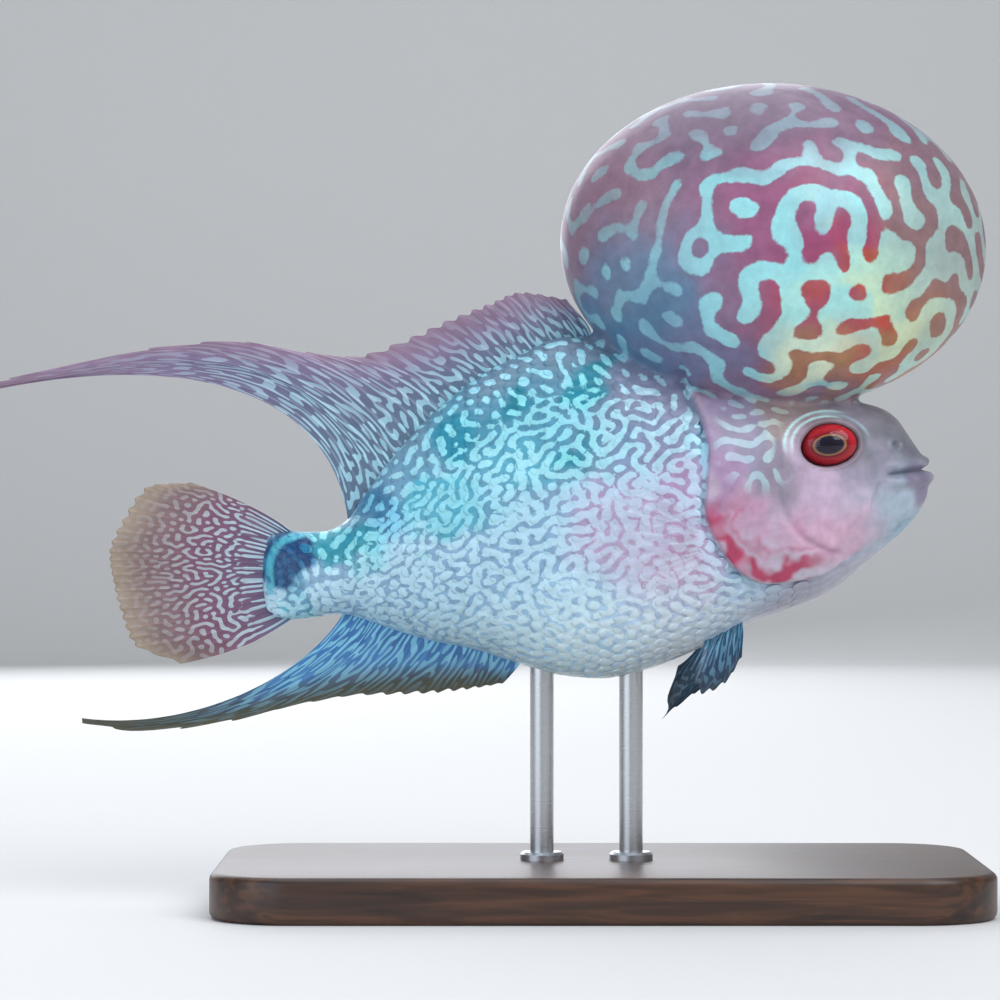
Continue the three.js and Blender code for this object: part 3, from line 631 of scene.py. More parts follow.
@dataclass
class Markings:
    """The colours of the skin: its ground, the pale marks on it and where the marks run."""

    form: FishForm
    rows: ScaleRows
    body: list[Patch] = field(default_factory=lambda: [
        # the back, the flank and the belly
        Patch((-8, 64), (52, 17), "#677f95", "#9bd6e6", softness=0.5),
        Patch((-2, 46), (30, 7), "#749db8", "#a6dbea", 0.9, 0.8),
        Patch((0, 28), (46, 14), "#86b0ce", "#bce2f2", softness=0.7),
        Patch((6, 27), (20, 7.4), "#bce2f6", "#e0faff", softness=0.7),
        Patch((14, 30), (12, 6), "#c0d2e6", "#e2f0f8", softness=0.7),
        # teal blotches on the upper flank, and the dark spot at the tail fin's root
        Patch((-11.0, 52.0), (10.0, 5.8), "#3f93aa", "#8fdde6", 0.7, 0.55, 0.4),
        Patch((-3.0, 57.0), (4.8, 2.0), "#0f8296", "#8adfe4", 0.95, 0.3, 0.5, 61),
        Patch((-9.2, 55.0), (3.4, 1.7), "#0c7c8f", "#8adfe4", 0.95, 0.3, 0.3),
        Patch((-15.8, 51.4), (3.0, 1.9), "#1d869e", "#8cdde6", 0.9, 0.3, 0.6),
        Patch((-3.4, 50.2), (2.8, 1.4), "#0f8296", "#8adfe4", 0.95, 0.3, -0.2),
        Patch((0.8, 51.4), (2.6, 1.4), "#188699", "#94e2e8", 0.9, 0.3),
        Patch((0.2, 48.2), (4.0, 2.0), "#1c8fa0", "#94e2e8", 0.85, 0.35, 0.3),
        Patch((-8.6, 48.6), (4.2, 2.4), "#57a9be", "#a6e6ee", 0.8, 0.5),
        Patch((-17.4, 43.6), (4.8, 3.2), "#44a6ba", "#84d2de", 0.85, 0.35, 0.2),
        Patch((-28.8, 39.8), (5.4, 2.3), "#178fa0", "#84d8e0", 0.9, 0.4),
        Patch((-24.4, 43.4), (3.0, 4.0), "#286f96", "#73c3df", 0.85, 0.5, 0.7),
        Patch((-35.0, 37.9), (2.6, 4.0), "#10406f", "#2a7fa6", 1.0, 0.25, 0.08),
        Patch((-33.6, 33.0), (1.2, 2.2), "#458caa", "#8bd6e2", 0.6, 0.5),
        Patch((5.0, 50.0), (4.6, 3.4), "#7a92b4", "#b0e4f0", 0.7, 0.6),
        # the pink flush behind the gill cover
        Patch((4.6, 41.4), (8.0, 6.4), "#bf9cbc", "#cfd6ea", 0.8, 0.7),
        Patch((7.4, 38.4), (5.0, 4.4), "#c79dbb", "#d6d2e6", 0.7, 0.7),
        Patch((7.6, 46.5), (2.8, 4.4), "#b58cb0", "#c6c8de", 0.7, 0.7),
        # the shoulder under the hump
        Patch((6.6, 55.6), (5.0, 5.2), "#83849f", "#b2d2de", 0.85, 0.6),
        # the throat
        Patch((26.5, 35.0), (9.5, 3.6), "#b9b4c2", "#c6c6d2", 0.9, 0.6, 0.35),
    ])
    head: list[Patch] = field(default_factory=lambda: [
        Patch((24, 44), (16, 9), "#b8aabd", softness=0.6),
        Patch((32.5, 51.0), (5.8, 5.0), "#76777f", softness=0.5),
        Patch((26.0, 54.6), (6.4, 2.6), "#85818c", strength=0.85),
        Patch((30.0, 47.6), (3.0, 2.0), "#978fa2", strength=0.7),
        Patch((32.2, 42.4), (4.4, 4.8), "#a2b9c6", strength=0.85, softness=0.9),
        Patch((35.4, 46.2), (2.4, 1.2), "#756884", strength=0.8, softness=0.7),
        Patch((34.8, 49.2), (1.8, 1.0), "#736e7c", strength=0.8, softness=0.5),
        Patch((25.4, 35.4), (5.6, 3.0), "#c4c2cf", strength=0.85),
        Patch((17.0, 34.6), (5.0, 2.0), "#c4bccb", strength=0.85),
        Patch((22.4, 45.0), (4.8, 4.2), "#c2a8bf", strength=0.8, softness=0.7),
        Patch((23.4, 40.6), (5.6, 3.0), "#d2a5bc", strength=0.8, softness=0.7),
        Patch((18.2, 49.4), (3.2, 5.4), "#8f8492", "#b3dad8", 0.9, 0.5),
        Patch((14.0, 52.0), (4.0, 4.4), "#8c86a0", "#b4d4de", 0.85, 0.6),
        Patch((14.4, 42.8), (2.4, 3.6), "#b9839f", strength=0.75),
        Patch((12.4, 47.6), (1.6, 5.4), "#a585a8", "#bfd0de", 0.8, 0.5),
        Patch((19.6, 54.0), (3.6, 2.2), "#97847f", "#c9d6c4", 0.85, 0.6),
        Patch((21.6, 41.0), (1.3, 2.4), "#c06f93", strength=0.5, softness=0.8, islands=36),
    ])
    hump: list[Patch] = field(default_factory=lambda: [
        Patch((19, 72.5), (34, 28), "#826a80", "#8cc4c8", softness=0.2),
        Patch((23.0, 73.0), (13.0, 12.0), "#95587a", "#9fdfe2", 0.95, 0.5),
        Patch((29.0, 70.0), (10.0, 10.0), "#ab4a58", "#ade6e0", 0.9, 0.5, islands=31),
        Patch((30.0, 65.6), (8.4, 7.0), "#b04a38", "#b6e0ce", 0.95, 0.5),
        Patch((25.6, 71.0), (6.4, 8.0), "#97406a", "#96d8da", 0.7, 0.6, islands=32),
        Patch((35.6, 66.6), (6.0, 9.8), "#966a54", "#b0cab4", 0.9, 0.6),
        Patch((33.0, 61.6), (6.0, 3.6), "#a27044", "#ccd8ae", 0.8, 0.6, islands=33),
        Patch((27.0, 63.6), (4.8, 4.4), "#bc4234", "#cce2b8", 0.85, 0.5, islands=34),
        Patch((19.0, 61.0), (5.6, 4.6), "#8f4660", "#a0d6d0", 0.8, 0.6),
        Patch((38.0, 74.0), (5.0, 9.0), "#876c70", "#a8bab4", 0.85, 0.6),
        Patch((31.0, 84.0), (8.0, 5.0), "#7e5f74", "#8bb2b8", 0.75, 0.7),
        Patch((34.0, 77.0), (6.0, 6.4), "#84696c", "#a2c8c2", 0.7, 0.7),
        Patch((12.0, 86.4), (14.0, 5.0), "#6f5a6e", "#7f95a2", 0.9, 0.7),
        Patch((1.0, 76.0), (5.4, 10.6), "#8c6c7c", "#8eb0b4", 0.9, 0.7),
        Patch((4.4, 66.0), (6.6, 7.2), "#587c98", "#8cccd6", 0.85, 0.6),
        Patch((5.4, 61.2), (7.0, 4.8), "#4c7594", "#86bfd2", 0.95, 0.6),
        Patch((11.2, 60.0), (6.0, 4.6), "#6c6c8c", "#93cdd8", 0.8, 0.7),
        Patch((23.6, 59.2), (5.0, 3.0), "#a87c52", "#e2e8c6", 0.85, 0.6),
    ])
    cells: int = 10
    # the grown patterns' size in rows and columns of scales, enough for the whole side
    grown: tuple[int, int] = (36, 60)

    def __post_init__(self) -> None:
        """Grows the fine patterns of the flanks, in the scales' columns and rows."""
        shape = (self.grown[0] * self.cells, self.grown[1] * self.cells)
        self.winding = [
            Pigment.on_grid(shape, 0.86 * self.cells, SEED + i, stretch=1.1) for i in range(2)
        ]
        self.slanting = [
            Pigment.on_grid(shape, 0.96 * self.cells, SEED + 5 + i, stretch=1.8,
                            slant=math.radians(118), bias=-0.2)
            for i in range(2)
        ]

    def paint(self, piece: Object, lie: Array | None = None,
              hump_field: Array | None = None) -> None:
        """Writes the markings on a mesh as colour attributes.

        Args:
            piece: the skin, or the plates of scales.
            lie: the columns and rows of the vertices, where they are already known.
            hump_field: the winding lines of the hump, where the mesh has it.
        """
        points = read_vertices(piece.data)
        x, y, z = points.T
        hump = np.zeros(len(x)) if hump_field is None else self.share_of_hump(x, y, z)
        cover, _ = along_line(x, z, smooth_line(COVER_EDGE))
        head = smoothstep(cover, -0.15, 0.15)
        flank = self.layers(points, self.body, "#8fa5b4", "#bcdde6")
        face = self.layers(points, self.head, "#bfa0b1", "#c4dcdc")
        crown = self.layers(points, self.hump, "#8d6d80", "#93cfca")
        self.edge_of_cover(points, face[0])
        self.eye_arcs(x, z, face[0])
        self.tail_arc(x, z, flank[0])
        ground, mark = (
            self.mix(self.mix(on_flank, on_face, head), on_crown, hump)
            for on_flank, on_face, on_crown in zip(flank, face, crown)
        )
        field_value, level = self.flank(x, y, z, self.rows.lie(x, y, z) if lie is None else lie)
        if hump_field is not None:
            grown = smoothstep(hump + head, 0.2, 0.6)
            field_value = field_value * (1 - grown) + hump_field * grown
            level = level * (1 - grown) + self.line_level(x, z, hump) * grown
        amount = 1 - head * (1 - hump) * (1 - 0.65 * self.behind_eye(x, z))
        throat = smoothstep(x, 12.0, 20.0) * (1 - hump) * (1 - head)
        spot = smoothstep(oval(x, z, TAIL_SPOT, TAIL_SPOT_RADII), 1.2, 0.7)
        amount = amount * (1 - 0.85 * throat) * (1 - 0.7 * spot)
        amount = amount * (1 - 0.45 * self.faint(points) * hump)
        write_values(piece.data, "ground", *ground.T)
        write_values(piece.data, "mark", *mark.T)
        write_values(piece.data, "kind", field_value * 0.5 + 0.5, level * 0.5 + 0.5, amount)

    @staticmethod
    def mix(under: Array, over: Array, share: Array) -> Array:
        """Blends two lots of colours, point by point."""
        return under * (1 - share[:, None]) + over * share[:, None]

    def share_of_hump(self, x: Array, y: Array, z: Array) -> Array:
        """How much each point of the skin belongs to the hump."""
        outside = self.form.hump_reach(x, y, z)
        hump = smoothstep(outside, 1.10, 1.03) * smoothstep(z, 54.6, 56.2)
        inside = np.abs(y) < self.form.side(x, np.minimum(z, self.form.back(x))) + 0.15
        under = inside & (z < self.form.back(x) + 0.1)
        return np.where(under, hump * smoothstep(outside, 1.03, 1.0), hump)

    def flank(self, x: Array, y: Array, z: Array,
              spots: Array) -> tuple[Array, Array]:
        """The fine pattern of the flanks and the level above which it is a pale mark."""
        rows = (spots[:, 1] + self.grown[0] / 2) * self.cells
        columns = spots[:, 0] * self.cells
        winding, slanting = (
            np.where(y > 0, *(Pigment.read(grid, rows, columns) for grid in pair))
            for pair in (self.winding, self.slanting)
        )
        high = z - self.form.middle(x)
        slant = smoothstep(self.form.back(x) - z, 8.5, 4.0)
        flush = smoothstep(np.hypot(x - 6, z - 40), 9.0, 3.0)
        level = 0.12 * smoothstep(high, 4.0, 12.0) - 0.34 * smoothstep(high, 9.0, 0.0) * (1 - slant)
        level = level - 0.16 * smoothstep(z, 35.0, 28.0) - 0.12 * flush
        points = np.stack([x, y, z], -1)
        level = level + 0.16 * drift(points, 2.4, 71) + 0.12 * drift(points, 5.0, 72)
        return winding * (1 - slant) + slanting * slant, level

    def faint(self, points: Array) -> Array:
        """Where the hump's lines turn faint: towards its top and its rear."""
        rim = self.bold_rim(points[:, 0], points[:, 2])
        return np.clip(smoothstep(rim, 0.6, 1.25) + 0.35 * drift(points, 9.0, 52), 0, 1)

    def bold_rim(self, x: Array, z: Array) -> Array:
        """How far out of the hump's boldest lines points lie: 0 in their middle, 1 at their rim."""
        cx, _, cz = self.form.hump_centre
        return oval(x - cx, z - cz, (8.0, -4.0), (20.0, 16.0))

    def behind_eye(self, x: Array, z: Array) -> Array:
        """Where the face carries a net of pale lines: between the eye and the gill opening."""
        near = oval(x, z, (16.8, 51.2), (4.4, 5.4))
        eye = oval(x, z, EYE_CENTRE, EYE_RADII)
        return smoothstep(near, 1.25, 0.8) * smoothstep(eye, 1.7, 2.1)

    def layers(self, points: Array, patches: list[Patch], ground: str,
               mark: str) -> tuple[Array, Array]:
        """Lays soft, ragged patches over a plain ground.

        Args:
            points: the places to colour.
            patches: the patches, from the lowest to the highest.
            ground: the colour under them all.
            mark: the colour of the marks where no patch gives one.

        Returns:
            The ground's colour and the marks' colour at each point.
        """
        x = points[:, 0] + 0.8 * drift(points, 7.0, 11) + 0.35 * drift(points, 2.6, 12)
        z = points[:, 2] + 0.7 * drift(points, 7.0, 13) + 0.35 * drift(points, 2.6, 14)
        base, line = (np.tile(np.array(linear(c)[:3]), (len(x), 1)) for c in (ground, mark))
        for patch in patches:
            weight = patch.cover(x, z, points)
            lay_colour(base, patch.ground, weight)
            if patch.mark:
                lay_colour(line, patch.mark, weight)
        return base, line

    def edge_of_cover(self, points: Array, ground: Array) -> None:
        """Lays the crimson margin along the gill cover's lower edge, in two ragged streaks."""
        gap, share = along_line(points[:, 0], points[:, 2], smooth_line(COVER_EDGE))
        along = smoothstep(share, 0.38, 0.52) * smoothstep(share, 1.0, 0.84)
        ragged = drift(points, 3.2, 41) + 0.5 * drift(points, 1.3, 42)
        band = smoothstep(np.abs(gap - 1.0 - 0.45 * ragged), 1.35, 0.35)
        second = smoothstep(np.abs(gap - 3.3 - 0.6 * ragged), 0.9, 0.1) * 0.45
        thin = smoothstep(drift(points, 4.0, 43), -1.1, 0.1)
        lay_colour(ground, "#b03057", np.maximum(band, second) * along * (0.45 + 0.5 * thin))

    def eye_arcs(self, x: Array, z: Array, ground: Array) -> None:
        """Lays the pale turquoise arcs behind and over the eye, and a dark ring of painted shade in
        the crease round it.
        """
        u, w = (x - EYE_CENTRE[0]) / EYE_RADII[0], (z - EYE_CENTRE[1]) / EYE_RADII[1]
        ring, angle = np.hypot(u, w), np.arctan2(w, u)
        behind = smoothstep(np.cos(angle - 2.3), 0.35, 0.75)
        before = smoothstep(np.cos(angle - 1.1), 0.6, 0.9)
        inner = smoothstep(np.abs(ring - 1.30), 0.07, 0.02)
        outer = smoothstep(np.abs(ring - 1.55), 0.08, 0.03)
        front = smoothstep(np.abs(ring - 1.42), 0.07, 0.02) * before
        # painted shade: a dark ring in the crease between the eyeball's seat and its rim
        lay_colour(ground, "#7a5f68", smoothstep(np.abs(ring - 1.08), 0.14, 0.04) * 0.5)
        lay_colour(ground, "#bfe6e2", np.clip(inner + outer, 0, 1) * behind * 0.9)
        lay_colour(ground, "#a3c3d2", front * 0.6)

    def tail_arc(self, x: Array, z: Array, ground: Array) -> None:
        """Lays the bright line that bounds the tail stem before the fin's rays."""
        gap, _ = along_line(x, z, smooth_line(TAIL_ARC))
        lay_colour(ground, "#59bfcf", smoothstep(np.abs(gap), 0.6, 0.25) * 0.8)

    def hump_bias(self, points: Array) -> Array:
        """How wide the winding lines grow: widest in the hump's middle and front."""
        rim = self.bold_rim(points[:, 0], points[:, 2])
        return 0.08 - 0.21 * smoothstep(rim, 0.3, 1.15) + 0.10 * drift(points, 7.0, 51)

    def line_level(self, x: Array, z: Array, hump: Array) -> Array:
        """The level above which the hump's field is a pale line."""
        rim = self.bold_rim(x, z)
        return (-0.12 + 0.62 * smoothstep(rim, 0.35, 1.2)) * hump + 0.25 * (1 - hump)


class Sheet:
    """A material's node tree while it is laid out."""

    def __init__(self, name: str) -> None:
        """Makes the material with an empty tree and an output."""
        self.material = bpy.data.materials.new(name)
        self.material.use_nodes = True
        self.tree = self.material.node_tree
        self.tree.nodes.clear()
        self.output = self.tree.nodes.new("ShaderNodeOutputMaterial")

    def add(self, kind: str, inputs: dict | None = None, out: int | str = 0,
            **settings: str | list) -> NodeSocket:
        """Adds one node.

        Args:
            kind: the node's type.
            inputs: values, or sockets to link, by input name or number.
            out: which output to hand back.
            settings: attributes to set, and ramp for the stops of a colour ramp.

        Returns:
            The chosen output socket.
        """
        node = self.tree.nodes.new(kind)
        for key, value in settings.items():
            if key == "ramp":
                self.lay_ramp(node.color_ramp.elements, value)
            else:
                setattr(node, key, value)
        for key, value in (inputs or {}).items():
            if isinstance(value, NodeSocket):
                self.tree.links.new(value, node.inputs[key])
            else:
                node.inputs[key].default_value = value
        return node.outputs[out]

    @staticmethod
    def lay_ramp(stops: ColorRampElements, colours: list[tuple[float, str]]) -> None:
        """Sets the stops of a colour ramp, each a place and an sRGB hex colour."""
        while len(stops) < len(colours):
            stops.new(0.5)
        for stop, (place, colour) in zip(stops, colours):
            stop.position, stop.color = place, linear(colour)

    def finish(self, shader: NodeSocket) -> Material:
        """Links the shader to the output and hands back the material."""
        self.tree.links.new(shader, self.output.inputs["Surface"])
        return self.material


@dataclass(frozen=True)
class FishSkin:
    """Living fish skin: mucus over pigment cells and mirror platelets.

    It gives the eye a wet, soft gloss, with pale marks that shine a little like foil.
    """

    name: str = "fish_skin"
    wet_roughness: float = 0.38
    mark_edge: float = 0.15
    raggedness: float = 0.3

    def build(self) -> Material:
        """Lays out the nodes and hands back the material."""
        s = Sheet(self.name)
        place = s.add("ShaderNodeTexCoord", out="Object")
        ground, mark, kind = (
            s.add("ShaderNodeAttribute", out="Color", attribute_name=name)
            for name in ("ground", "mark", "kind")
        )
        split = s.add("ShaderNodeSeparateColor", {"Color": kind})
        value, level, amount = (split.node.outputs[i] for i in range(3))
        # specks of 0.6 mm, wavy edges of 1.5 mm, clouds of 1.4 mm and a grain of 0.3 mm
        fine, wavy, mottle, grain = (
            s.add("ShaderNodeTexNoise", {"Vector": place, "Scale": scale, "Detail": detail})
            for scale, detail in ((1700.0, 2.0), (650.0, 3.0), (700.0, 4.0), (3200.0, 2.0))
        )
        # the pale marks, with ragged edges
        shaken = s.add("ShaderNodeMath", {0: wavy, 1: 2.2, 2: fine}, operation="MULTIPLY_ADD")
        ragged = s.add("ShaderNodeMath", operation="MULTIPLY_ADD",
                       inputs={0: shaken, 1: self.raggedness, 2: -1.6 * self.raggedness})
        above = s.add("ShaderNodeMath", {0: value, 1: level}, operation="SUBTRACT")
        edge = s.add("ShaderNodeMath", {0: above, 1: ragged}, operation="ADD")
        lines = s.add("ShaderNodeMapRange", interpolation_type="SMOOTHSTEP", inputs={
            "Value": edge, "From Min": -self.mark_edge, "From Max": self.mark_edge})
        marks = s.add("ShaderNodeMath", {0: lines, 1: amount}, operation="MULTIPLY")
        # both colours, clouded as pigment cells are
        soft = s.add("ShaderNodeMath", {0: mottle, 1: 0.6}, operation="MULTIPLY")
        cloud = s.add("ShaderNodeMath", {0: fine, 1: 0.4, 2: soft}, operation="MULTIPLY_ADD")
        tones = []
        for colour, over, low, high in ((ground, mottle, 0.66, 1.34), (mark, cloud, 0.7, 1.24)):
            shade = s.add("ShaderNodeMapRange", {"Value": over, "To Min": low, "To Max": high})
            tones.append(s.add("ShaderNodeMix", {"Factor": 1.0, "A": colour, "B": shade}, 2,
                               data_type="RGBA", blend_type="MULTIPLY"))
        colour = s.add("ShaderNodeMix", {"Factor": marks, "A": tones[0], "B": tones[1]}, 2,
                       data_type="RGBA")
        # the marks stand up a little and shine more
        pores = s.add("ShaderNodeMath", {0: grain, 1: 0.4}, operation="MULTIPLY")
        height = s.add("ShaderNodeMath", {0: marks, 1: 0.5, 2: pores}, operation="MULTIPLY_ADD")
        bump = s.add("ShaderNodeBump", {"Strength": 0.35, "Distance": 0.00012, "Height": height})
        rough = s.add("ShaderNodeMapRange", {"Value": marks, "To Min": self.wet_roughness + 0.08,
                                             "To Max": self.wet_roughness - 0.06})
        foil = s.add("ShaderNodeMath", {0: marks, 1: 0.05}, operation="MULTIPLY")
        return s.finish(s.add("ShaderNodeBsdfPrincipled", {
            "Base Color": colour, "Roughness": rough, "IOR": 1.38, "Normal": bump,
            "Metallic": foil, "Subsurface Weight": 0.08, "Subsurface Radius": (0.9, 0.4, 0.3),
            "Subsurface Scale": 0.0006, "Coat Weight": 0.26, "Coat Roughness": 0.2,
        }))


@dataclass(frozen=True)
class Fold:
    """A fold of the skin along a drawn line: a groove, with a ridge beside it where it has one."""

    line: Points
    width: float
    depth: float
    starts: tuple[float, float]
    ends: tuple[float, float]
    # the ridge's distance from the line, its width and its height
    ridge: tuple[float, float, float] | None = None
    on_throat: bool = False

    def carve(self, move: Array, x: Array, z: Array, face_on: Array) -> None:
        """Adds the fold to how far each point of the skin moves out.

        Args:
            move: how far the points move out, changed in place.
            x: the points' places along the fish.
            z: the points' heights.
            face_on: where the skin faces sideways, which is where most folds show.
        """
        gap, share = along_line(x, z, smooth_line(self.line))
        reach = smoothstep(share, *self.starts) * smoothstep(share, *self.ends)
        where = 1.0 if self.on_throat else face_on
        move -= swell(gap, self.width) * self.depth * reach * where
        if self.ridge:
            away, width, height = self.ridge
            move += swell(gap - away, width) * height * reach * where


FOLDS = (
    Fold(CHEEK_CREASE, 0.35, 0.24, (0.12, 0.3), (1.0, 0.9), ridge=(0.8, 0.7, 0.18)),
    Fold(THROAT_FOLD, 0.3, 0.32, (0.0, 0.15), (1.0, 0.8), on_throat=True),
    Fold(JAW_CREASE, 0.32, 0.3, (0.0, 0.1), (1.0, 0.6)),
)


class Skin:
    """The fish's skin: body and hump in one closed surface, with gill covers, lips and folds."""

    # how finely the body and the hump are fused, and how far apart the hump's lines grow, in mm
    voxel: float = 0.46
    line_spacing: float = 4.2
    # rings along the body and along the hump, and points round each
    body_steps: tuple[int, int] = (130, 120)
    hump_steps: tuple[int, int] = (92, 110)
    # the head: where its finer faces start, how high they reach, and how far they are eased
    head_from: float = 8.5
    head_below: float = 55.6
    head_margin: float = 0.3

    def __init__(self, form: FishForm, markings: Markings) -> None:
        """Keeps what the skin is made from."""
        self.form, self.markings = form, markings

    def build(self) -> Object:
        """Makes, shapes and dresses the skin, and hands it back."""
        piece = self.join()
        self.refine_head(piece)
        bias = self.markings.hump_bias(read_vertices(piece.data))
        lines = Pigment.on_mesh(piece.data, self.voxel, self.line_spacing, bias, SEED)
        self.relief(piece)
        self.markings.paint(piece, hump_field=lines)
        piece.data.materials.append(FishSkin().build())
        return piece

    def join(self) -> Object:
        """Fuses the body and the hump into one closed surface."""
        form = self.form
        rings, around = self.body_steps
        share = np.linspace(0, 1, rings)
        x = form.tail_x + share * (form.lip_x - form.tail_x) + 1.5 * np.sin(math.pi * share) * share
        angle = np.linspace(0, 2 * math.pi, around, endpoint=False)
        body = close_rings(form.section(x[:, None], angle[None, :]), "skin")
        hump = close_rings(self.hump_rings(), "hump")
        only(body)
        hump.select_set(True)
        bpy.ops.object.join()
        apply_modifier(body, "REMESH", mode="VOXEL", voxel_size=self.voxel * MM,
                       use_smooth_shade=True)
        apply_modifier(body, "SMOOTH", factor=0.5, iterations=6)
        return body

    def hump_rings(self) -> Array:
        """The hump's sections across the fish, from back to front."""
        form = self.form
        rings, around = self.hump_steps
        turn = np.linspace(0, math.pi, rings)[1:-1, None]
        angle = np.linspace(0, 2 * math.pi, around, endpoint=False)[None, :]
        up = np.sin(angle)
        power = 2 / np.where(up > 0, *form.hump_squareness)
        across, rise = signed_power(np.cos(angle), power), signed_power(up, power)
        length, width, height = (size / 2 for size in form.hump_size)
        u = -np.cos(turn) * length + 0 * angle
        w = rise * np.sin(turn) * height
        c, s = math.cos(form.hump_lean), math.sin(form.hump_lean)
        cx, cy, cz = form.hump_centre
        y = cy + across * np.sin(turn) * width
        return np.stack([cx + u * c + w * s, y, cz - u * s + w * c], -1)

    def refine_head(self, piece: Object) -> None:
        """Splits the head's faces once, so that its folds come out crisp."""
        mesh = bmesh.new()
        mesh.from_mesh(piece.data)
        edges = set()
        for face in mesh.faces:
            x, _, z = face.calc_center_median() / MM
            if x > self.head_from and z < self.head_below:
                edges.update(face.edges)
        bmesh.ops.subdivide_edges(mesh, edges=list(edges), cuts=1, use_grid_fill=True, smooth=0.0)
        bmesh.ops.triangulate(mesh, faces=[f for f in mesh.faces if len(f.verts) > 4])
        mesh.to_mesh(piece.data)
        mesh.free()
        group = piece.vertex_groups.new(name="head")
        x, _, z = read_vertices(piece.data).T
        eased = (x > self.head_from - self.head_margin) & (z < self.head_below + self.head_margin)
        group.add(np.nonzero(eased)[0].tolist(), 1.0, "REPLACE")
        apply_modifier(piece, "SMOOTH", factor=0.5, iterations=3, vertex_group="head")
        shade_smooth(piece.data)

    def relief(self, piece: Object) -> None:
        """Moves the skin in and out for gill covers, folds, lips, eye seats and nostrils."""
        mesh = piece.data
        points, normal = read_vertices(mesh), read_normals(mesh)
        x, y, z = points.T
        sideways = np.abs(normal[:, 1])
        face_on = smoothstep(sideways, 0.12, 0.45)
        move = self.cover_edge(x, z) * face_on
        for fold in FOLDS:
            fold.carve(move, x, z, face_on)
        move += self.lips(x, z)
        move += self.eye_seat(x, z) * smoothstep(sideways, 0.1, 0.3)
        move += self.nostril(x, z) * (np.abs(y) > 1.5)
        write_vertices(mesh, points + normal * move[:, None])
        apply_modifier(piece, "SMOOTH", factor=0.4, iterations=1)

    def cover_edge(self, x: Array, z: Array) -> Array:
        """The gill cover's raised edge and the slot behind it."""
        gap, share = along_line(x, z, smooth_line(COVER_EDGE))
        reach = smoothstep(share, 0.0, 0.08) * smoothstep(share, 1.0, 0.93)
        plate = smoothstep(gap, -0.1, 0.25) * np.exp(-np.clip(gap, 0, None) / 3.2) * 0.62
        return (plate - swell(gap + 0.35, 0.38) * 0.5) * reach

    def lips(self, x: Array, z: Array) -> Array:
        """The two rolled lips with the shut mouth line between them."""
        corner_x, corner_z = MOUTH_CORNER
        off = z - (corner_z + (x - corner_x) * MOUTH_RISE)
        fade = smoothstep(x, corner_x - 0.5, corner_x + 1.4)
        upper, lower = swell(off - 0.85, 0.55) * 0.5, swell(off + 0.95, 0.7) * 0.72
        return (upper + lower - swell(off, 0.24) * 1.1) * fade

    def eye_seat(self, x: Array, z: Array) -> Array:
        """The socket under each eyeball and the soft rim round it."""
        ring = oval(x, z, EYE_CENTRE, EYE_RADII, EYE_TILT)
        return swell(ring - 1.12, 0.1) * 0.16 - smoothstep(ring, 1.02, 0.86) * 1.7

    def nostril(self, x: Array, z: Array) -> Array:
        """The pit of each nostril and the low rim round it."""
        away = np.hypot(x - NOSTRIL[0], z - NOSTRIL[1])
        return swell(away - 0.62, 0.25) * 0.16 - swell(away, 0.34) * 0.7


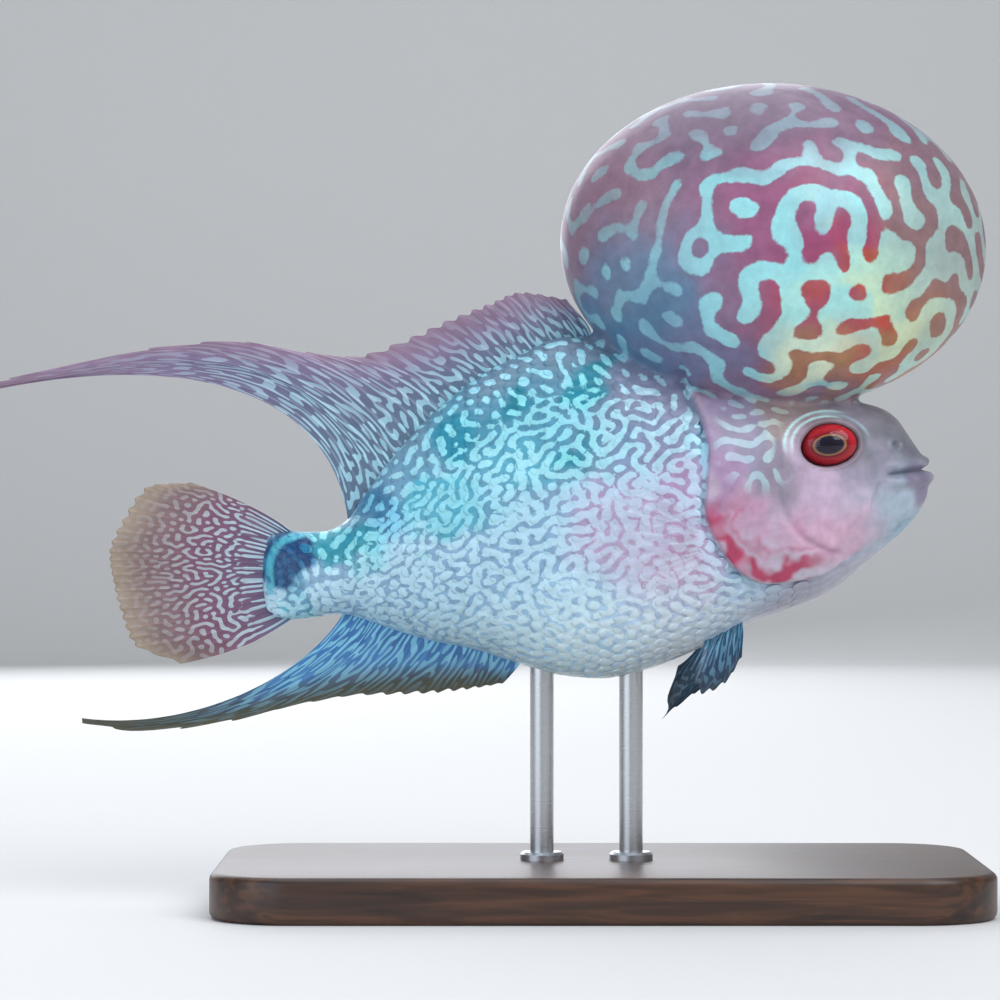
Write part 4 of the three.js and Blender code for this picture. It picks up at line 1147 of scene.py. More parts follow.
class Scales:
    """The scales: thin plates that overlap towards the tail, one mesh for each side."""

    points_round: int = 14
    long: float = 1.5
    tall: float = 1.22
    front: float = 0.82
    crown: float = 0.03
    thick: float = 0.045
    lift: float = 0.055
    sunk: float = 0.11
    # where the plates end: at the hump, over the belly, under the back, at the gill cover, in front
    hump_clear: float = 1.035
    belly_clear: float = 0.25
    back_clear: float = 0.12
    cover_clear: float = 0.7
    front_x: float = 22.0
    # share of the radius, and whether the ring is the plate's top, for each ring of points
    rings: tuple[tuple[float, bool], ...] = ((0.42, True), (0.78, True), (0.97, True), (1.0, False))

    def __init__(self, form: FishForm, rows: ScaleRows, markings: Markings) -> None:
        """Keeps the shape of the fish, the rows and the markings."""
        self.form, self.rows, self.markings = form, rows, markings
        self.edge = smooth_line(COVER_EDGE)
        self.template, self.faces = self.one_plate()

    def one_plate(self) -> tuple[Array, list[tuple[int, ...]]]:
        """One plate's points and faces.

        Returns:
            The points as shares of a column and a row with their height in millimetres, and the
            faces by point number.
        """
        points = [(0.0, 0.0, self.crown)]
        count = self.points_round
        for radius, top in self.rings:
            for k in range(count):
                turn = 2 * math.pi * k / count
                a = math.cos(turn) * radius * self.long / 2
                b = math.sin(turn) * radius * self.tall / 2
                dome = self.crown - 0.05 * radius**2 - 0.05 * (math.sin(turn) * radius) ** 2
                points.append((a * self.front if a > 0 else a, b,
                               dome if top else dome - self.thick))
        points.append((0.0, 0.0, -self.sunk))
        faces: list[tuple[int, ...]] = []
        for k in range(count):
            n = (k + 1) % count
            faces.append((0, 1 + k, 1 + n))
            for ring in range(len(self.rings) - 1):
                low, high = 1 + ring * count, 1 + (ring + 1) * count
                faces.append((low + k, high + k, high + n, low + n))
            last = 1 + (len(self.rings) - 1) * count
            faces.append((last + k, len(points) - 1, last + n))
        return np.array(points), faces

    def build(self, side: Side) -> Object:
        """Lays every plate of one side and dresses them."""
        plates: list[Array] = []
        roots: list[tuple[float, float]] = []
        for column in range(1, int(float(self.rows.column(24.0)))):
            low, high = self.rows.rows_at(float(self.rows.place_of_column(column)))
            for row in range(math.ceil(low), math.floor(high) + 1):
                root = (float(column), row + 0.5 * (column % 2))
                plate = self.lay(root)
                if plate is not None:
                    plates.append(plate * np.array([1, side.value, 1]))
                    roots.append(root)
        each = len(self.template)
        faces = [
            tuple(i * each + k for k in face) for i in range(len(plates)) for face in self.faces
        ]
        verts = (np.concatenate(plates) * MM).tolist()
        piece = mesh_object(f"scales_{side.name.lower()}", verts, faces)
        cells = np.repeat(np.array(roots), each, axis=0)
        local = np.tile(self.template[:, :2], (len(plates), 1))
        self.markings.paint(piece, cells + local)
        self.bake_map(piece, cells, local, side)
        finish = FishSkin("fish_scales", wet_roughness=0.32, mark_edge=0.08, raggedness=0.12)
        piece.data.materials.append(finish.build())
        return piece

    def lay(self, root: tuple[float, float]) -> Array | None:
        """The points of one plate on the left side, or nothing under the hump and on the head."""
        middle = self.rows.point(*root)
        x, y, z = middle
        form = self.form
        under_hump = form.hump_reach(np.array(x), np.array(y), np.array(z)) < self.hump_clear
        low, high = form.belly(x) + self.belly_clear, form.back(x) - self.back_clear
        gap, _ = along_line(np.array([x]), np.array([z]), self.edge)
        on_head = gap[0] > -self.cover_clear or x > self.front_x
        if under_hump or on_head or z < low or z > high:
            return None
        column, row = root
        ahead = self.rows.point(column + 0.1, row) - self.rows.point(column - 0.1, row)
        above = self.rows.point(column, row + 0.1) - self.rows.point(column, row - 0.1)
        ahead /= np.linalg.norm(ahead)
        above -= ahead * ahead.dot(above)
        above /= max(float(np.linalg.norm(above)), 1e-6)
        out = np.cross(above, ahead)
        out = -out if out[1] < 0 else out
        size = float(self.rows.size(x))
        a = self.template[:, 0] * SCALE_LENGTH * size
        b = self.template[:, 1] * SCALE_ROW * size
        tilt = -self.template[:, 0] / (self.long / 2) * self.lift
        follow = -0.03 * b**2 - 0.012 * a**2
        rise = self.template[:, 2] + tilt + follow
        return middle + ahead * a[:, None] + above * b[:, None] + out * rise[:, None]

    def bake_map(self, piece: Object, cells: Array, local: Array,
                 side: Side) -> None:
        """Gives each plate a small patch at its root's place on an unwrap of the skin."""
        columns = float(self.rows.column(self.form.lip_x))
        reach = 22.0
        start = 0.01 if side is Side.RIGHT else 0.51
        across = (cells[:, 1] + reach) / (2 * reach) * 0.48 + start
        centre = np.column_stack([cells[:, 0] / columns * 0.98 + 0.01, across])
        write_map(piece.data, "OFBake", centre + local * 0.0015)


@dataclass
class FinPlan:
    """A fin: at each share of its length a ray runs from its base over two points to its edge."""

    name: str
    nodes: tuple[str, ...]
    shares: tuple[float, ...]
    base: Points
    near: Points
    far: Points
    edge: Points
    # how far the fin stands off the fish's middle plane, by the share out from base to edge
    lean: Points
    rays: int
    # half thicknesses in mm: added at the root, of the membrane, and added by each ray
    root: float = 0.3
    membrane: float = 0.09
    ray_height: float = 0.13
    # how deep the edge is notched between rays, how far it sways, how deep the root is sunk
    notch: float = 0.05
    wave: float = 0.25
    sunk: float = 1.2
    rows: int = 34
    per_ray: int = 6
    slot: str = "fin"
    # the streaks' length over width, far out and at the root, their spacing in rays, their share
    streak: float = 3.0
    root_streak: float = 6.0
    streak_gap: float = 1.1
    coverage: float = 0.0


class Fin:
    """Builds one fin from its plan as a thin closed membrane with raised rays."""

    # the half width of a ray's crest, as a share of the distance from ray to ray
    crest: float = 0.17
    # the streaks' grid: cells to a step, steps out and rays across, and a step's length in mm
    cells: int = 10
    grown: tuple[int, int] = (80, 40)
    streak_step: float = 0.9

    def __init__(self, plan: FinPlan, side: Side = Side.LEFT) -> None:
        """Reads the plan's tables."""
        self.plan, self.side = plan, side
        self.read = [
            [Curve(plan.shares, [spot[k] for spot in line]) for k in (0, 1)]
            for line in (plan.base, plan.near, plan.far, plan.edge)
        ]
        self.lean = Curve(*([spot[k] for spot in plan.lean] for k in (0, 1)))

    def grid(self) -> tuple[Array, Array, Array, Array]:
        """The fin's middle surface.

        Returns:
            Its points in rows from base to edge, the share along the fin, the share along each
            ray, and the half thickness at each point.
        """
        plan = self.plan
        columns = plan.rays * plan.per_ray
        u = np.linspace(0, 1, columns + 1)
        frac = (np.arange(columns + 1) % plan.per_ray) / plan.per_ray
        lines = [np.stack([pair[0](u), pair[1](u)], -1) for pair in self.read]
        length = sum(np.linalg.norm(b - a, axis=1) for a, b in zip(lines, lines[1:]))
        down = (np.linspace(0, 1, plan.rows + 1) ** 1.15)[None, :]
        start = -(plan.sunk / length)[:, None]
        v = start + down * (self.reach(frac, lines[-1])[:, None] - start)
        weights = (
            (1 - 3 * v) * (2 - 3 * v) * (1 - v) / 2,
            9 * v * (2 - 3 * v) * (1 - v) / 2,
            9 * v * (3 * v - 1) * (1 - v) / 2,
            v * (3 * v - 1) * (3 * v - 2) / 2,
        )
        x, z = (sum(w * line[:, [k]] for w, line in zip(weights, lines)) for k in (0, 1))
        out = np.clip(v, 0, 1)
        sway = plan.wave * np.sin(u * plan.rays * 0.55)[:, None] * out**1.5
        crest = swell(np.minimum(frac, 1 - frac), self.crest)[:, None]
        taper = (1 - out) ** 0.8
        thick = plan.membrane * (0.55 + 0.45 * taper)
        thick = thick + plan.ray_height * crest * (0.3 + 0.7 * taper) + plan.root * 0.3 * taper**3
        return (np.stack([x, self.lean(out) + sway, z], -1), np.broadcast_to(u[:, None], v.shape),
                v, thick)

    def reach(self, frac: Array, edge: Array) -> Array:
        """How far out the membrane runs: less between the rays, and a little ragged."""
        plan = self.plan
        between = np.sin(math.pi * frac) ** 2
        spread = np.linalg.norm(np.gradient(edge, axis=0), axis=1) * plan.per_ray
        rng = np.random.default_rng(SEED + plan.rays)
        ragged = np.repeat(rng.uniform(-0.3, 0.5, plan.rays + 1), plan.per_ray)[: len(frac)]
        return 1 - plan.notch * (between + 0.25 * ragged) * np.clip((spread - 0.5) / 0.9, 0, 1)

    def build(self, finish: Material) -> Object:
        """Makes the mesh, writes its map of rays and dresses it."""
        points, u, v, thick = self.grid()
        wide, tall = points.shape[:2]
        push = np.zeros_like(points)
        push[..., 1] = thick
        verts = np.concatenate([(points - push).reshape(-1, 3), (points + push).reshape(-1, 3)])
        verts = verts * np.array([1, self.side.value, 1]) * MM
        piece = mesh_object(self.plan.name, verts.tolist(), self.faces(wide, tall))
        step = np.linalg.norm(np.diff(points, axis=1), axis=2)
        run = np.pad(np.cumsum(step, axis=1), ((0, 0), (1, 0)))
        ray = u * self.plan.rays
        write_map(piece.data, "rays", np.tile(np.stack([ray, run], -1).reshape(-1, 2), (2, 1)))
        parts = (self.streaks(ray, run) * 0.5 + 0.5, np.clip(v, 0, 1))
        write_values(piece.data, "share", *(np.tile(part.reshape(-1), 2) for part in parts))
        piece.data.materials.append(finish)
        return piece

    @staticmethod
    def faces(wide: int, tall: int) -> list[tuple[int, ...]]:
        """The faces of two sheets, one turned over, and of the rim that joins them."""
        offset = wide * tall
        faces = []
        for i in range(wide - 1):
            for j in range(tall - 1):
                a = i * tall + j
                quad = (a, a + tall, a + tall + 1, a + 1)
                faces.append(quad)
                faces.append(tuple(offset + k for k in reversed(quad)))
        rim = [i * tall for i in range(wide)]
        rim += [(wide - 1) * tall + j for j in range(1, tall)]
        rim += [i * tall + tall - 1 for i in range(wide - 2, -1, -1)]
        rim += list(range(tall - 2, 0, -1))
        faces += [(a, offset + a, offset + b, b) for a, b in zip(rim, rim[1:] + rim[:1])]
        return faces

    def streaks(self, ray: Array, run: Array) -> Array:
        """The streaks along the rays: long and joined at the root, broken further out."""
        plan, cells = self.plan, self.cells
        shape = (self.grown[0] * cells, self.grown[1] * cells)
        near, far = (
            Pigment.read(
                Pigment.on_grid(shape, plan.streak_gap * cells, SEED + plan.rays + i, stretch,
                                math.radians(90), plan.coverage),
                run / self.streak_step * cells, ray * cells)
            for i, stretch in enumerate((plan.root_streak, plan.streak))
        )
        root = smoothstep(run, 8.0, 4.0)
        return near * root + far * (1 - root)


@dataclass(frozen=True)
class FinSkin:
    """Fin membrane over bony rays: thin, damp skin with dashes of mirror pigment.

    It gives the eye a soft satin gloss, streaked along the rays, and thins to glass at the edge.
    """

    name: str
    base_ramp: tuple[tuple[float, str], ...]
    streak: str
    far_streak: str
    level: float = 0.5
    fades_from: float = 0.75
    opacity: tuple[float, float] = (1.0, 0.8)
    bone: float = 0.25
    gloss: float = 0.34

    def build(self) -> Material:
        """Lays out the nodes and hands back the material."""
        s = Sheet(self.name)
        place = s.add("ShaderNodeTexCoord", out="Object")
        # how far along the fin in rays, the streaks' field, and how far out from base to edge
        rays = s.add("ShaderNodeUVMap", uv_map="rays")
        ray = s.add("ShaderNodeSeparateXYZ", {"Vector": rays})
        share = s.add("ShaderNodeAttribute", out="Color", attribute_name="share")
        parts = s.add("ShaderNodeSeparateColor", {"Color": share})
        streaks, out = (parts.node.outputs[i] for i in range(2))
        # specks of 0.7 mm and clouds of 2 mm
        fine, mottle = (
            s.add("ShaderNodeTexNoise", {"Vector": place, "Scale": scale, "Detail": detail})
            for scale, detail in ((1500.0, 2.0), (500.0, 3.0))
        )
        ragged = s.add("ShaderNodeMath", {0: fine, 1: 0.2, 2: -0.1}, operation="MULTIPLY_ADD")
        edge = s.add("ShaderNodeMath", {0: streaks, 1: ragged}, operation="ADD")
        lines, fade, alpha = (
            s.add("ShaderNodeMapRange", {"Value": value, "From Min": low, "From Max": high,
                                         "To Min": first, "To Max": last},
                  interpolation_type="SMOOTHSTEP")
            for value, low, high, first, last in (
                (edge, self.level - 0.06, self.level + 0.08, 0.0, 1.0),
                (out, self.fades_from, 1.0, 0.9, 0.25),
                (out, 0.5, 1.0, *self.opacity),
            )
        )
        marks = s.add("ShaderNodeMath", {0: lines, 1: fade}, operation="MULTIPLY")
        base = s.add("ShaderNodeValToRGB", {0: out}, ramp=self.base_ramp)
        shade = s.add("ShaderNodeMapRange", {"Value": mottle, "To Min": 0.72, "To Max": 1.28})
        toned = s.add("ShaderNodeMix", {"Factor": 1.0, "A": base, "B": shade}, 2,
                      data_type="RGBA", blend_type="MULTIPLY")
        pale = s.add("ShaderNodeMix", {"Factor": out, "A": linear(self.streak),
                                       "B": linear(self.far_streak)}, 2, data_type="RGBA")
        colour = s.add("ShaderNodeMix", {"Factor": marks, "A": toned, "B": pale}, 2,
                       data_type="RGBA")
        # the rays are bone, so they stay solid where the membrane between them clears
        part = s.add("ShaderNodeMath", {0: ray}, operation="FRACT")
        off = s.add("ShaderNodeMath", {0: part, 1: 0.5}, operation="SUBTRACT")
        ridge = s.add("ShaderNodeMath", {0: off}, operation="ABSOLUTE")
        bone = s.add("ShaderNodeMapRange", {"Value": ridge, "From Min": 0.3, "From Max": 0.5,
                                            "To Max": self.bone})
        whole = s.add("ShaderNodeMath", {0: alpha, 1: bone}, operation="ADD")
        bump = s.add("ShaderNodeBump", {"Strength": 0.3, "Distance": 0.0001, "Height": fine})
        return s.finish(s.add("ShaderNodeBsdfPrincipled", {
            "Base Color": colour, "Roughness": self.gloss, "IOR": 1.4, "Normal": bump,
            "Alpha": s.add("ShaderNodeMath", {0: whole, 1: 1.0}, operation="MINIMUM"),
            "Coat Weight": 0.25, "Coat Roughness": 0.15,
        }))


DORSAL_SKIN = FinSkin(
    "dorsal_membrane",
    ((0.0, "#5b7389"), (0.3, "#686c86"), (0.6, "#806e8a"), (1.0, "#907488")),
    streak="#9bcbd8", far_streak="#ac9cae", level=0.53, fades_from=0.1, opacity=(1.0, 0.88),
)
ANAL_SKIN = FinSkin(
    "anal_membrane",
    ((0.0, "#3f7cb8"), (0.35, "#4379ac"), (0.52, "#4a5c70"), (0.7, "#454840"), (1.0, "#524d35")),
    streak="#8ad6ee", far_streak="#5c666c", level=0.52, fades_from=0.18, opacity=(1.0, 0.94),
)
TAIL_SKIN = FinSkin(
    "tail_membrane",
    ((0.0, "#40708e"), (0.08, "#575b76"), (0.3, "#6f5470"), (0.6, "#7a5066"), (0.85, "#846a68"),
     (1.0, "#a8967e")),
    streak="#acd0de", far_streak="#b6a9a6", level=0.53, fades_from=0.5, opacity=(1.0, 0.74),
)
PELVIC_SKIN = FinSkin(
    "pelvic_membrane", ((0.0, "#305f7c"), (0.5, "#17405e"), (1.0, "#2c3742")),
    streak="#5c96b2", far_streak="#465868", level=0.57, opacity=(1.0, 0.92),
)
CLEAR_SKIN = FinSkin(
    "clear_membrane", ((0.0, "#c596b4"), (0.5, "#c2b2c8"), (1.0, "#bcc4d2")),
    streak="#dfeaf4", far_streak="#d8e0ea", level=0.66, opacity=(0.14, 0.08), bone=0.1,
)

DORSAL = FinPlan(
    "dorsal_fin_dressed", ("dorsal_fin", "dorsal_fin_trail"),
    shares=(0, 0.12, 0.24, 0.34, 0.44, 0.53, 0.62, 0.7, 0.75, 0.8, 0.84, 1),
    base=[(-1.3, 63.7), (-4.2, 62.6), (-7.4, 61.2), (-10.4, 59.7), (-13.8, 57.8), (-16.8, 55.7),
          (-19.5, 53.4), (-21.7, 50.9), (-22.8, 49.7), (-23.6, 48.6), (-24.3, 47.6),
          (-27.7, 42.2)],
    near=[(-2.1, 64.8), (-5.6, 64.6), (-8.9, 63.0), (-12.3, 61.5), (-16.1, 59.5), (-20.0, 57.8),
          (-23.5, 56.9), (-27.4, 56.5), (-30.2, 56.8), (-33.0, 57.3), (-37.2, 58.4),
          (-35.6, 54.6)],
    far=[(-3.0, 65.8), (-7.0, 66.2), (-10.6, 64.7), (-14.3, 63.1), (-18.6, 61.0), (-23.6, 59.4),
         (-28.2, 59.4), (-33.9, 60.3), (-39.2, 60.6), (-45.1, 60.7), (-52.6, 59.6), (-50.8, 58.3)],
    edge=[(-3.7, 66.7), (-8.6, 67.5), (-12.3, 66.2), (-16.3, 64.6), (-21.4, 62.3), (-27.5, 60.4),
          (-33.2, 61.0), (-41.1, 62.1), (-49.5, 61.3), (-57.8, 59.5), (-67.6, 57.4),
          (-67.6, 56.5)],
    lean=[(0, 0.0), (0.4, 0.2), (1, 0.9)],
    rays=28, notch=0.065, rows=96, per_ray=10, streak=8.0, root_streak=4.5, streak_gap=0.52,
    coverage=-0.08,
)
ANAL = FinPlan(
    "anal_fin_dressed", ("anal_fin", "anal_fin_trail"),
    shares=(0, 0.2, 0.38, 0.52, 0.64, 0.74, 0.82, 0.87, 1),
    base=[(-8.8, 26.6), (-12.9, 28.3), (-16.5, 28.9), (-19.8, 29.5), (-22.6, 30.1), (-24.4, 30.8),
          (-25.5, 31.1), (-26.2, 31.4), (-28.3, 32.0)],
    near=[(-9.3, 25.9), (-13.5, 26.6), (-17.8, 26.8), (-21.8, 26.8), (-25.3, 26.8), (-28.3, 26.4),
          (-30.0, 26.1), (-33.9, 24.5), (-34.9, 25.6)],
    far=[(-10.0, 25.1), (-14.4, 25.1), (-19.4, 24.9), (-24.0, 24.6), (-28.8, 24.0), (-33.9, 22.8),
         (-38.5, 21.7), (-44.7, 20.4), (-45.1, 21.3)],
    edge=[(-10.7, 24.4), (-15.5, 23.6), (-21.1, 23.2), (-26.4, 23.1), (-33.0, 22.1), (-41.8, 20.0),
          (-50.6, 19.1), (-56.9, 20.0), (-56.9, 20.6)],
    lean=[(0, 0.0), (0.4, -0.1), (1, -0.7)],
    rays=18, notch=0.065, rows=90, per_ray=12, streak=9.0, root_streak=6.0, streak_gap=0.46,
    coverage=-0.05,
)
CAUDAL = FinPlan(
    "caudal_fin_dressed", ("caudal_fin",),
    shares=(0, 0.1, 0.25, 0.42, 0.6, 0.78, 0.9, 1),
    base=[(-33.9, 41.1), (-34.1, 40.4), (-34.3, 39.0), (-34.4, 37.6), (-34.4, 36.0), (-34.3, 34.1),
          (-34.1, 32.8), (-33.8, 31.5)],
    near=[(-37.0, 43.1), (-38.0, 42.4), (-38.9, 40.3), (-39.6, 38.1), (-39.6, 35.8), (-38.9, 33.1),
          (-38.2, 31.2), (-37.0, 29.5)],
    far=[(-40.7, 44.9), (-43.0, 44.3), (-44.9, 41.6), (-46.2, 38.5), (-46.0, 35.5), (-45.0, 32.2),
         (-44.0, 29.8), (-41.1, 27.8)],
    edge=[(-45.1, 46.5), (-49.3, 46.3), (-52.4, 42.9), (-54.1, 38.7), (-53.7, 35.4), (-52.6, 31.4),
          (-51.4, 28.6), (-46.2, 26.5)],
    lean=[(0, 0.0), (0.5, 0.3), (1, 1.4)],
    rays=22, notch=0.018, rows=90, per_ray=10, root=0.5, streak=1.7, root_streak=14.0,
    streak_gap=0.74, coverage=-0.12,
)
PECTORAL = FinPlan(
    "pectoral_fin_dressed", ("pectoral_fin",),
    shares=(0, 0.25, 0.5, 0.75, 1),
    base=[(11.7, 41.2), (11.6, 40.6), (11.4, 39.8), (11.3, 39.0), (11.2, 38.3)],
    near=[(9.0, 43.2), (7.6, 42.0), (7.4, 39.9), (7.7, 38.0), (9.1, 36.6)],
    far=[(6.3, 45.0), (3.6, 43.1), (3.1, 40.0), (4.0, 36.7), (6.8, 35.1)],
    edge=[(3.5, 46.3), (-0.2, 44.0), (-1.3, 39.9), (0.0, 35.5), (4.4, 33.5)],
    lean=[(0, 9.9), (0.35, 12.0), (1, 13.6)],
    rays=12, notch=0.04, rows=24, membrane=0.05, ray_height=0.09, root=0.2, wave=0.12,
    slot="clear_fin", sunk=0.5,
)
PELVIC_RIGHT = FinPlan(
    "pelvic_fin_right_dressed", ("pelvic_fin_right",),
    shares=(0, 0.35, 0.65, 0.85, 1),
    base=[(15.5, 30.9), (14.4, 30.6), (13.2, 30.0), (12.3, 29.6), (11.4, 29.1)],
    near=[(15.5, 29.7), (14.3, 28.6), (12.5, 27.9), (11.6, 27.7), (10.9, 28.2)],
    far=[(15.4, 28.6), (14.0, 26.6), (11.9, 25.7), (10.8, 26.1), (10.4, 27.3)],
    edge=[(15.3, 27.5), (13.4, 24.6), (11.0, 23.4), (10.1, 24.5), (10.0, 26.4)],
    lean=[(0, 3.4), (0.5, 4.6), (1, 5.4)],
    rays=6, notch=0.08, rows=30, sunk=1.0, wave=0.15, streak_gap=0.42,
)
PELVIC_LEFT = FinPlan(
    "pelvic_fin_left_dressed", ("pelvic_fin_left",),
    shares=(0, 0.4, 0.7, 0.87, 1),
    base=[(15.5, 30.8), (14.1, 30.4), (12.8, 29.7), (12.0, 29.3), (11.4, 29.0)],
    near=[(15.2, 28.8), (12.9, 27.4), (11.2, 26.4), (10.6, 27.2), (10.6, 27.8)],
    far=[(14.7, 26.9), (11.6, 24.8), (9.3, 23.2), (9.2, 25.3), (9.7, 26.8)],
    edge=[(14.1, 25.2), (10.1, 22.6), (7.0, 20.1), (7.9, 23.6), (8.8, 26.1)],
    lean=[(0, 3.4), (0.5, 4.6), (1, 5.4)],
    rays=6, notch=0.08, rows=30, sunk=1.0, wave=0.15, streak_gap=0.42,
)


class Eye:
    """One eye: a ball with its iris and pupil under a clear cornea."""

    ball: tuple[float, float, float] = (3.2, 1.9, 2.4)
    proud: float = 0.85
    iris_scale: float = 0.93
    dish_depth: float = 0.42

    def __init__(self, form: FishForm, side: Side) -> None:
        """Finds the eye's place on the head."""
        x, z = EYE_CENTRE
        self.side = side
        self.centre = (x, side.value * (float(form.side(x, z)) + self.proud - self.ball[1]), z)

    def build(self, iris: Material, cornea: Material) -> list[Object]:
        """Makes the ball, with a dished iris, and the cornea over it."""
        name = self.side.name.lower()
        ball = self.globe(f"eyeball_{name}", self.iris_scale)
        self.dish(ball)
        clear = self.globe(f"cornea_{name}", 1.0)
        for piece, finish in ((ball, iris), (clear, cornea)):
            piece.data.materials.append(finish)
        return [ball, clear]

    def globe(self, name: str, scale: float) -> Object:
        """A ball of the eye's size at the eye's place, its poles facing out and in."""
        bpy.ops.object.select_all(action="DESELECT")
        bpy.ops.mesh.primitive_uv_sphere_add(segments=64, ring_count=48, radius=1.0)
        piece = bpy.context.object
        piece.name = name
        piece.data.name = name
        unit = (read_vertices(piece.data) * MM)[:, [0, 2, 1]]
        x, y, z = (unit * np.array(self.ball) * scale).T
        along, up = turned(x, z, -EYE_TILT)
        write_vertices(piece.data, np.stack([along, y, up], -1) + np.array(self.centre))
        face_outwards(piece.data)
        return piece

    def dish(self, piece: Object) -> None:
        """Flattens the front of the ball into an iris and writes its map round the pupil."""
        points = read_vertices(piece.data)
        u, w = turned(points[:, 0] - self.centre[0], points[:, 2] - self.centre[2], EYE_TILT)
        ring = np.hypot(u / self.ball[0], w / self.ball[2])
        front = (points[:, 1] - self.centre[1]) * self.side.value > 0
        sunk = smoothstep(ring, 0.82, 0.45) * self.dish_depth
        points[:, 1] -= np.where(front, sunk, 0) * self.side.value
        write_vertices(piece.data, points)
        write_map(piece.data, "iris", np.stack([u, w], -1))


@dataclass(frozen=True)
class Iris:
    """A fish's iris: red pigment over mirror tissue round a dark pupil with a thin gold ring.

    It gives the eye a deep, spoked red that stays matt, so that the cornea alone shines.
    """

    pupil_mm: tuple[float, float] = (1.62, 1.02)
    # how far out each colour lies, where 1 is three times the pupil's radius
    ramp: tuple[tuple[float, str], ...] = (
        (0.0, "#120c1c"), (0.30, "#1d1230"), (0.36, "#b98a5c"), (0.39, "#861424"),
        (0.50, "#cf2233"), (0.72, "#d62a3b"), (0.86, "#8f1a2b"), (1.0, "#54202c"),
    )

    def build(self) -> Material:
        """Lays out the nodes and hands back the material."""
        s = Sheet("iris")
        spot = s.add("ShaderNodeUVMap", uv_map="iris")
        split = s.add("ShaderNodeSeparateXYZ", {"Vector": spot})
        u, w = (split.node.outputs[i] for i in range(2))
        squares = []
        for value, radius in zip((u, w), self.pupil_mm):
            share = s.add("ShaderNodeMath", {0: value, 1: radius}, operation="DIVIDE")
            squares.append(s.add("ShaderNodeMath", {0: share, 1: 2.0}, operation="POWER"))
        total = s.add("ShaderNodeMath", dict(enumerate(squares)), operation="ADD")
        pupil = s.add("ShaderNodeMath", {0: total}, operation="SQRT")
        angle = s.add("ShaderNodeMath", {0: w, 1: u}, operation="ARCTAN2")
        turn = s.add("ShaderNodeMath", {0: angle, 1: 5.0}, operation="MULTIPLY")
        round_it = s.add("ShaderNodeCombineXYZ", {"X": turn, "Y": pupil})
        spokes = s.add("ShaderNodeTexNoise", {"Vector": round_it, "Scale": 1.6, "Detail": 3.0})
        out = s.add("ShaderNodeMath", {0: pupil, 1: 3.0}, operation="DIVIDE")
        ring = s.add("ShaderNodeValToRGB", {0: out}, ramp=self.ramp)
        shade = s.add("ShaderNodeMapRange", {"Value": spokes, "To Min": 0.7, "To Max": 1.25})
        colour = s.add("ShaderNodeMix", {"Factor": 0.8, "A": ring, "B": shade}, 2,
                       data_type="RGBA", blend_type="MULTIPLY")
        return s.finish(s.add("ShaderNodeBsdfPrincipled", {
            "Base Color": colour, "Roughness": 0.45, "IOR": 1.4, "Specular IOR Level": 0.2}))


@dataclass(frozen=True)
class Cornea:
    """Clear cornea: living, tear-wet tissue that shows only as a sharp gloss."""

    bends_light: float = 1.376
    roughness: float = 0.04

    def build(self) -> Material:
        """Lays out the nodes and hands back the material."""
        s = Sheet("cornea")
        clear = s.add("ShaderNodeBsdfTransparent", {"Color": linear("#ffffff")})
        gloss = s.add("ShaderNodeBsdfGlossy", {"Color": linear("#ffffff"),
                                               "Roughness": self.roughness})
        edge = s.add("ShaderNodeFresnel", {"IOR": self.bends_light})
        return s.finish(s.add("ShaderNodeMixShader", {0: edge, 1: clear, 2: gloss}))


@dataclass(frozen=True)
class Walnut:
    """Oiled walnut: long dark grain, which gives the eye fine streaks and a low sheen."""

    # grain 17 mm long and 1.1 mm wide, as cells to a metre
    grain: tuple[float, float, float] = (60.0, 900.0, 900.0)
    ramp: tuple[tuple[float, str], ...] = (
        (0.3, "#24150d"), (0.5, "#3d2415"), (0.66, "#55341f"), (0.8, "#2f1c11"))

    def build(self) -> Material:
        """Lays out the nodes and hands back the material."""
        s = Sheet("oiled_walnut")
        place = s.add("ShaderNodeTexCoord", out="Object")
        along = s.add("ShaderNodeMapping", {"Vector": place, "Scale": self.grain})
        grain = s.add("ShaderNodeTexNoise", {"Vector": along, "Scale": 1.0, "Detail": 5.0,
                                             "Distortion": 0.6})
        colour = s.add("ShaderNodeValToRGB", {0: grain}, ramp=self.ramp)
        bump = s.add("ShaderNodeBump", {"Strength": 0.2, "Distance": 0.0001, "Height": grain})
        rough = s.add("ShaderNodeMapRange", {"Value": grain, "To Min": 0.34, "To Max": 0.5})
        return s.finish(s.add("ShaderNodeBsdfPrincipled", {
            "Base Color": colour, "Roughness": rough, "Normal": bump,
            "Coat Weight": 0.15, "Coat Roughness": 0.25}))


@dataclass(frozen=True)
class BrushedSteel:
    """Brushed stainless steel: lathe marks round the rod, which give the eye a streaked shine."""

    # lathe marks 0.1 mm apart, and 5 mm long round the rod
    marks: tuple[float, float, float] = (200.0, 200.0, 9000.0)

    def build(self) -> Material:
        """Lays out the nodes and hands back the material."""
        s = Sheet("brushed_steel")
        place = s.add("ShaderNodeTexCoord", out="Object")
        along = s.add("ShaderNodeMapping", {"Vector": place, "Scale": self.marks})
        grain = s.add("ShaderNodeTexNoise", {"Vector": along, "Scale": 1.0, "Detail": 3.0})
        rough = s.add("ShaderNodeMapRange", {"Value": grain, "To Min": 0.2, "To Max": 0.4})
        return s.finish(s.add("ShaderNodeBsdfPrincipled", {
            "Base Color": linear("#c3c4c6"), "Metallic": 1.0, "Roughness": rough}))


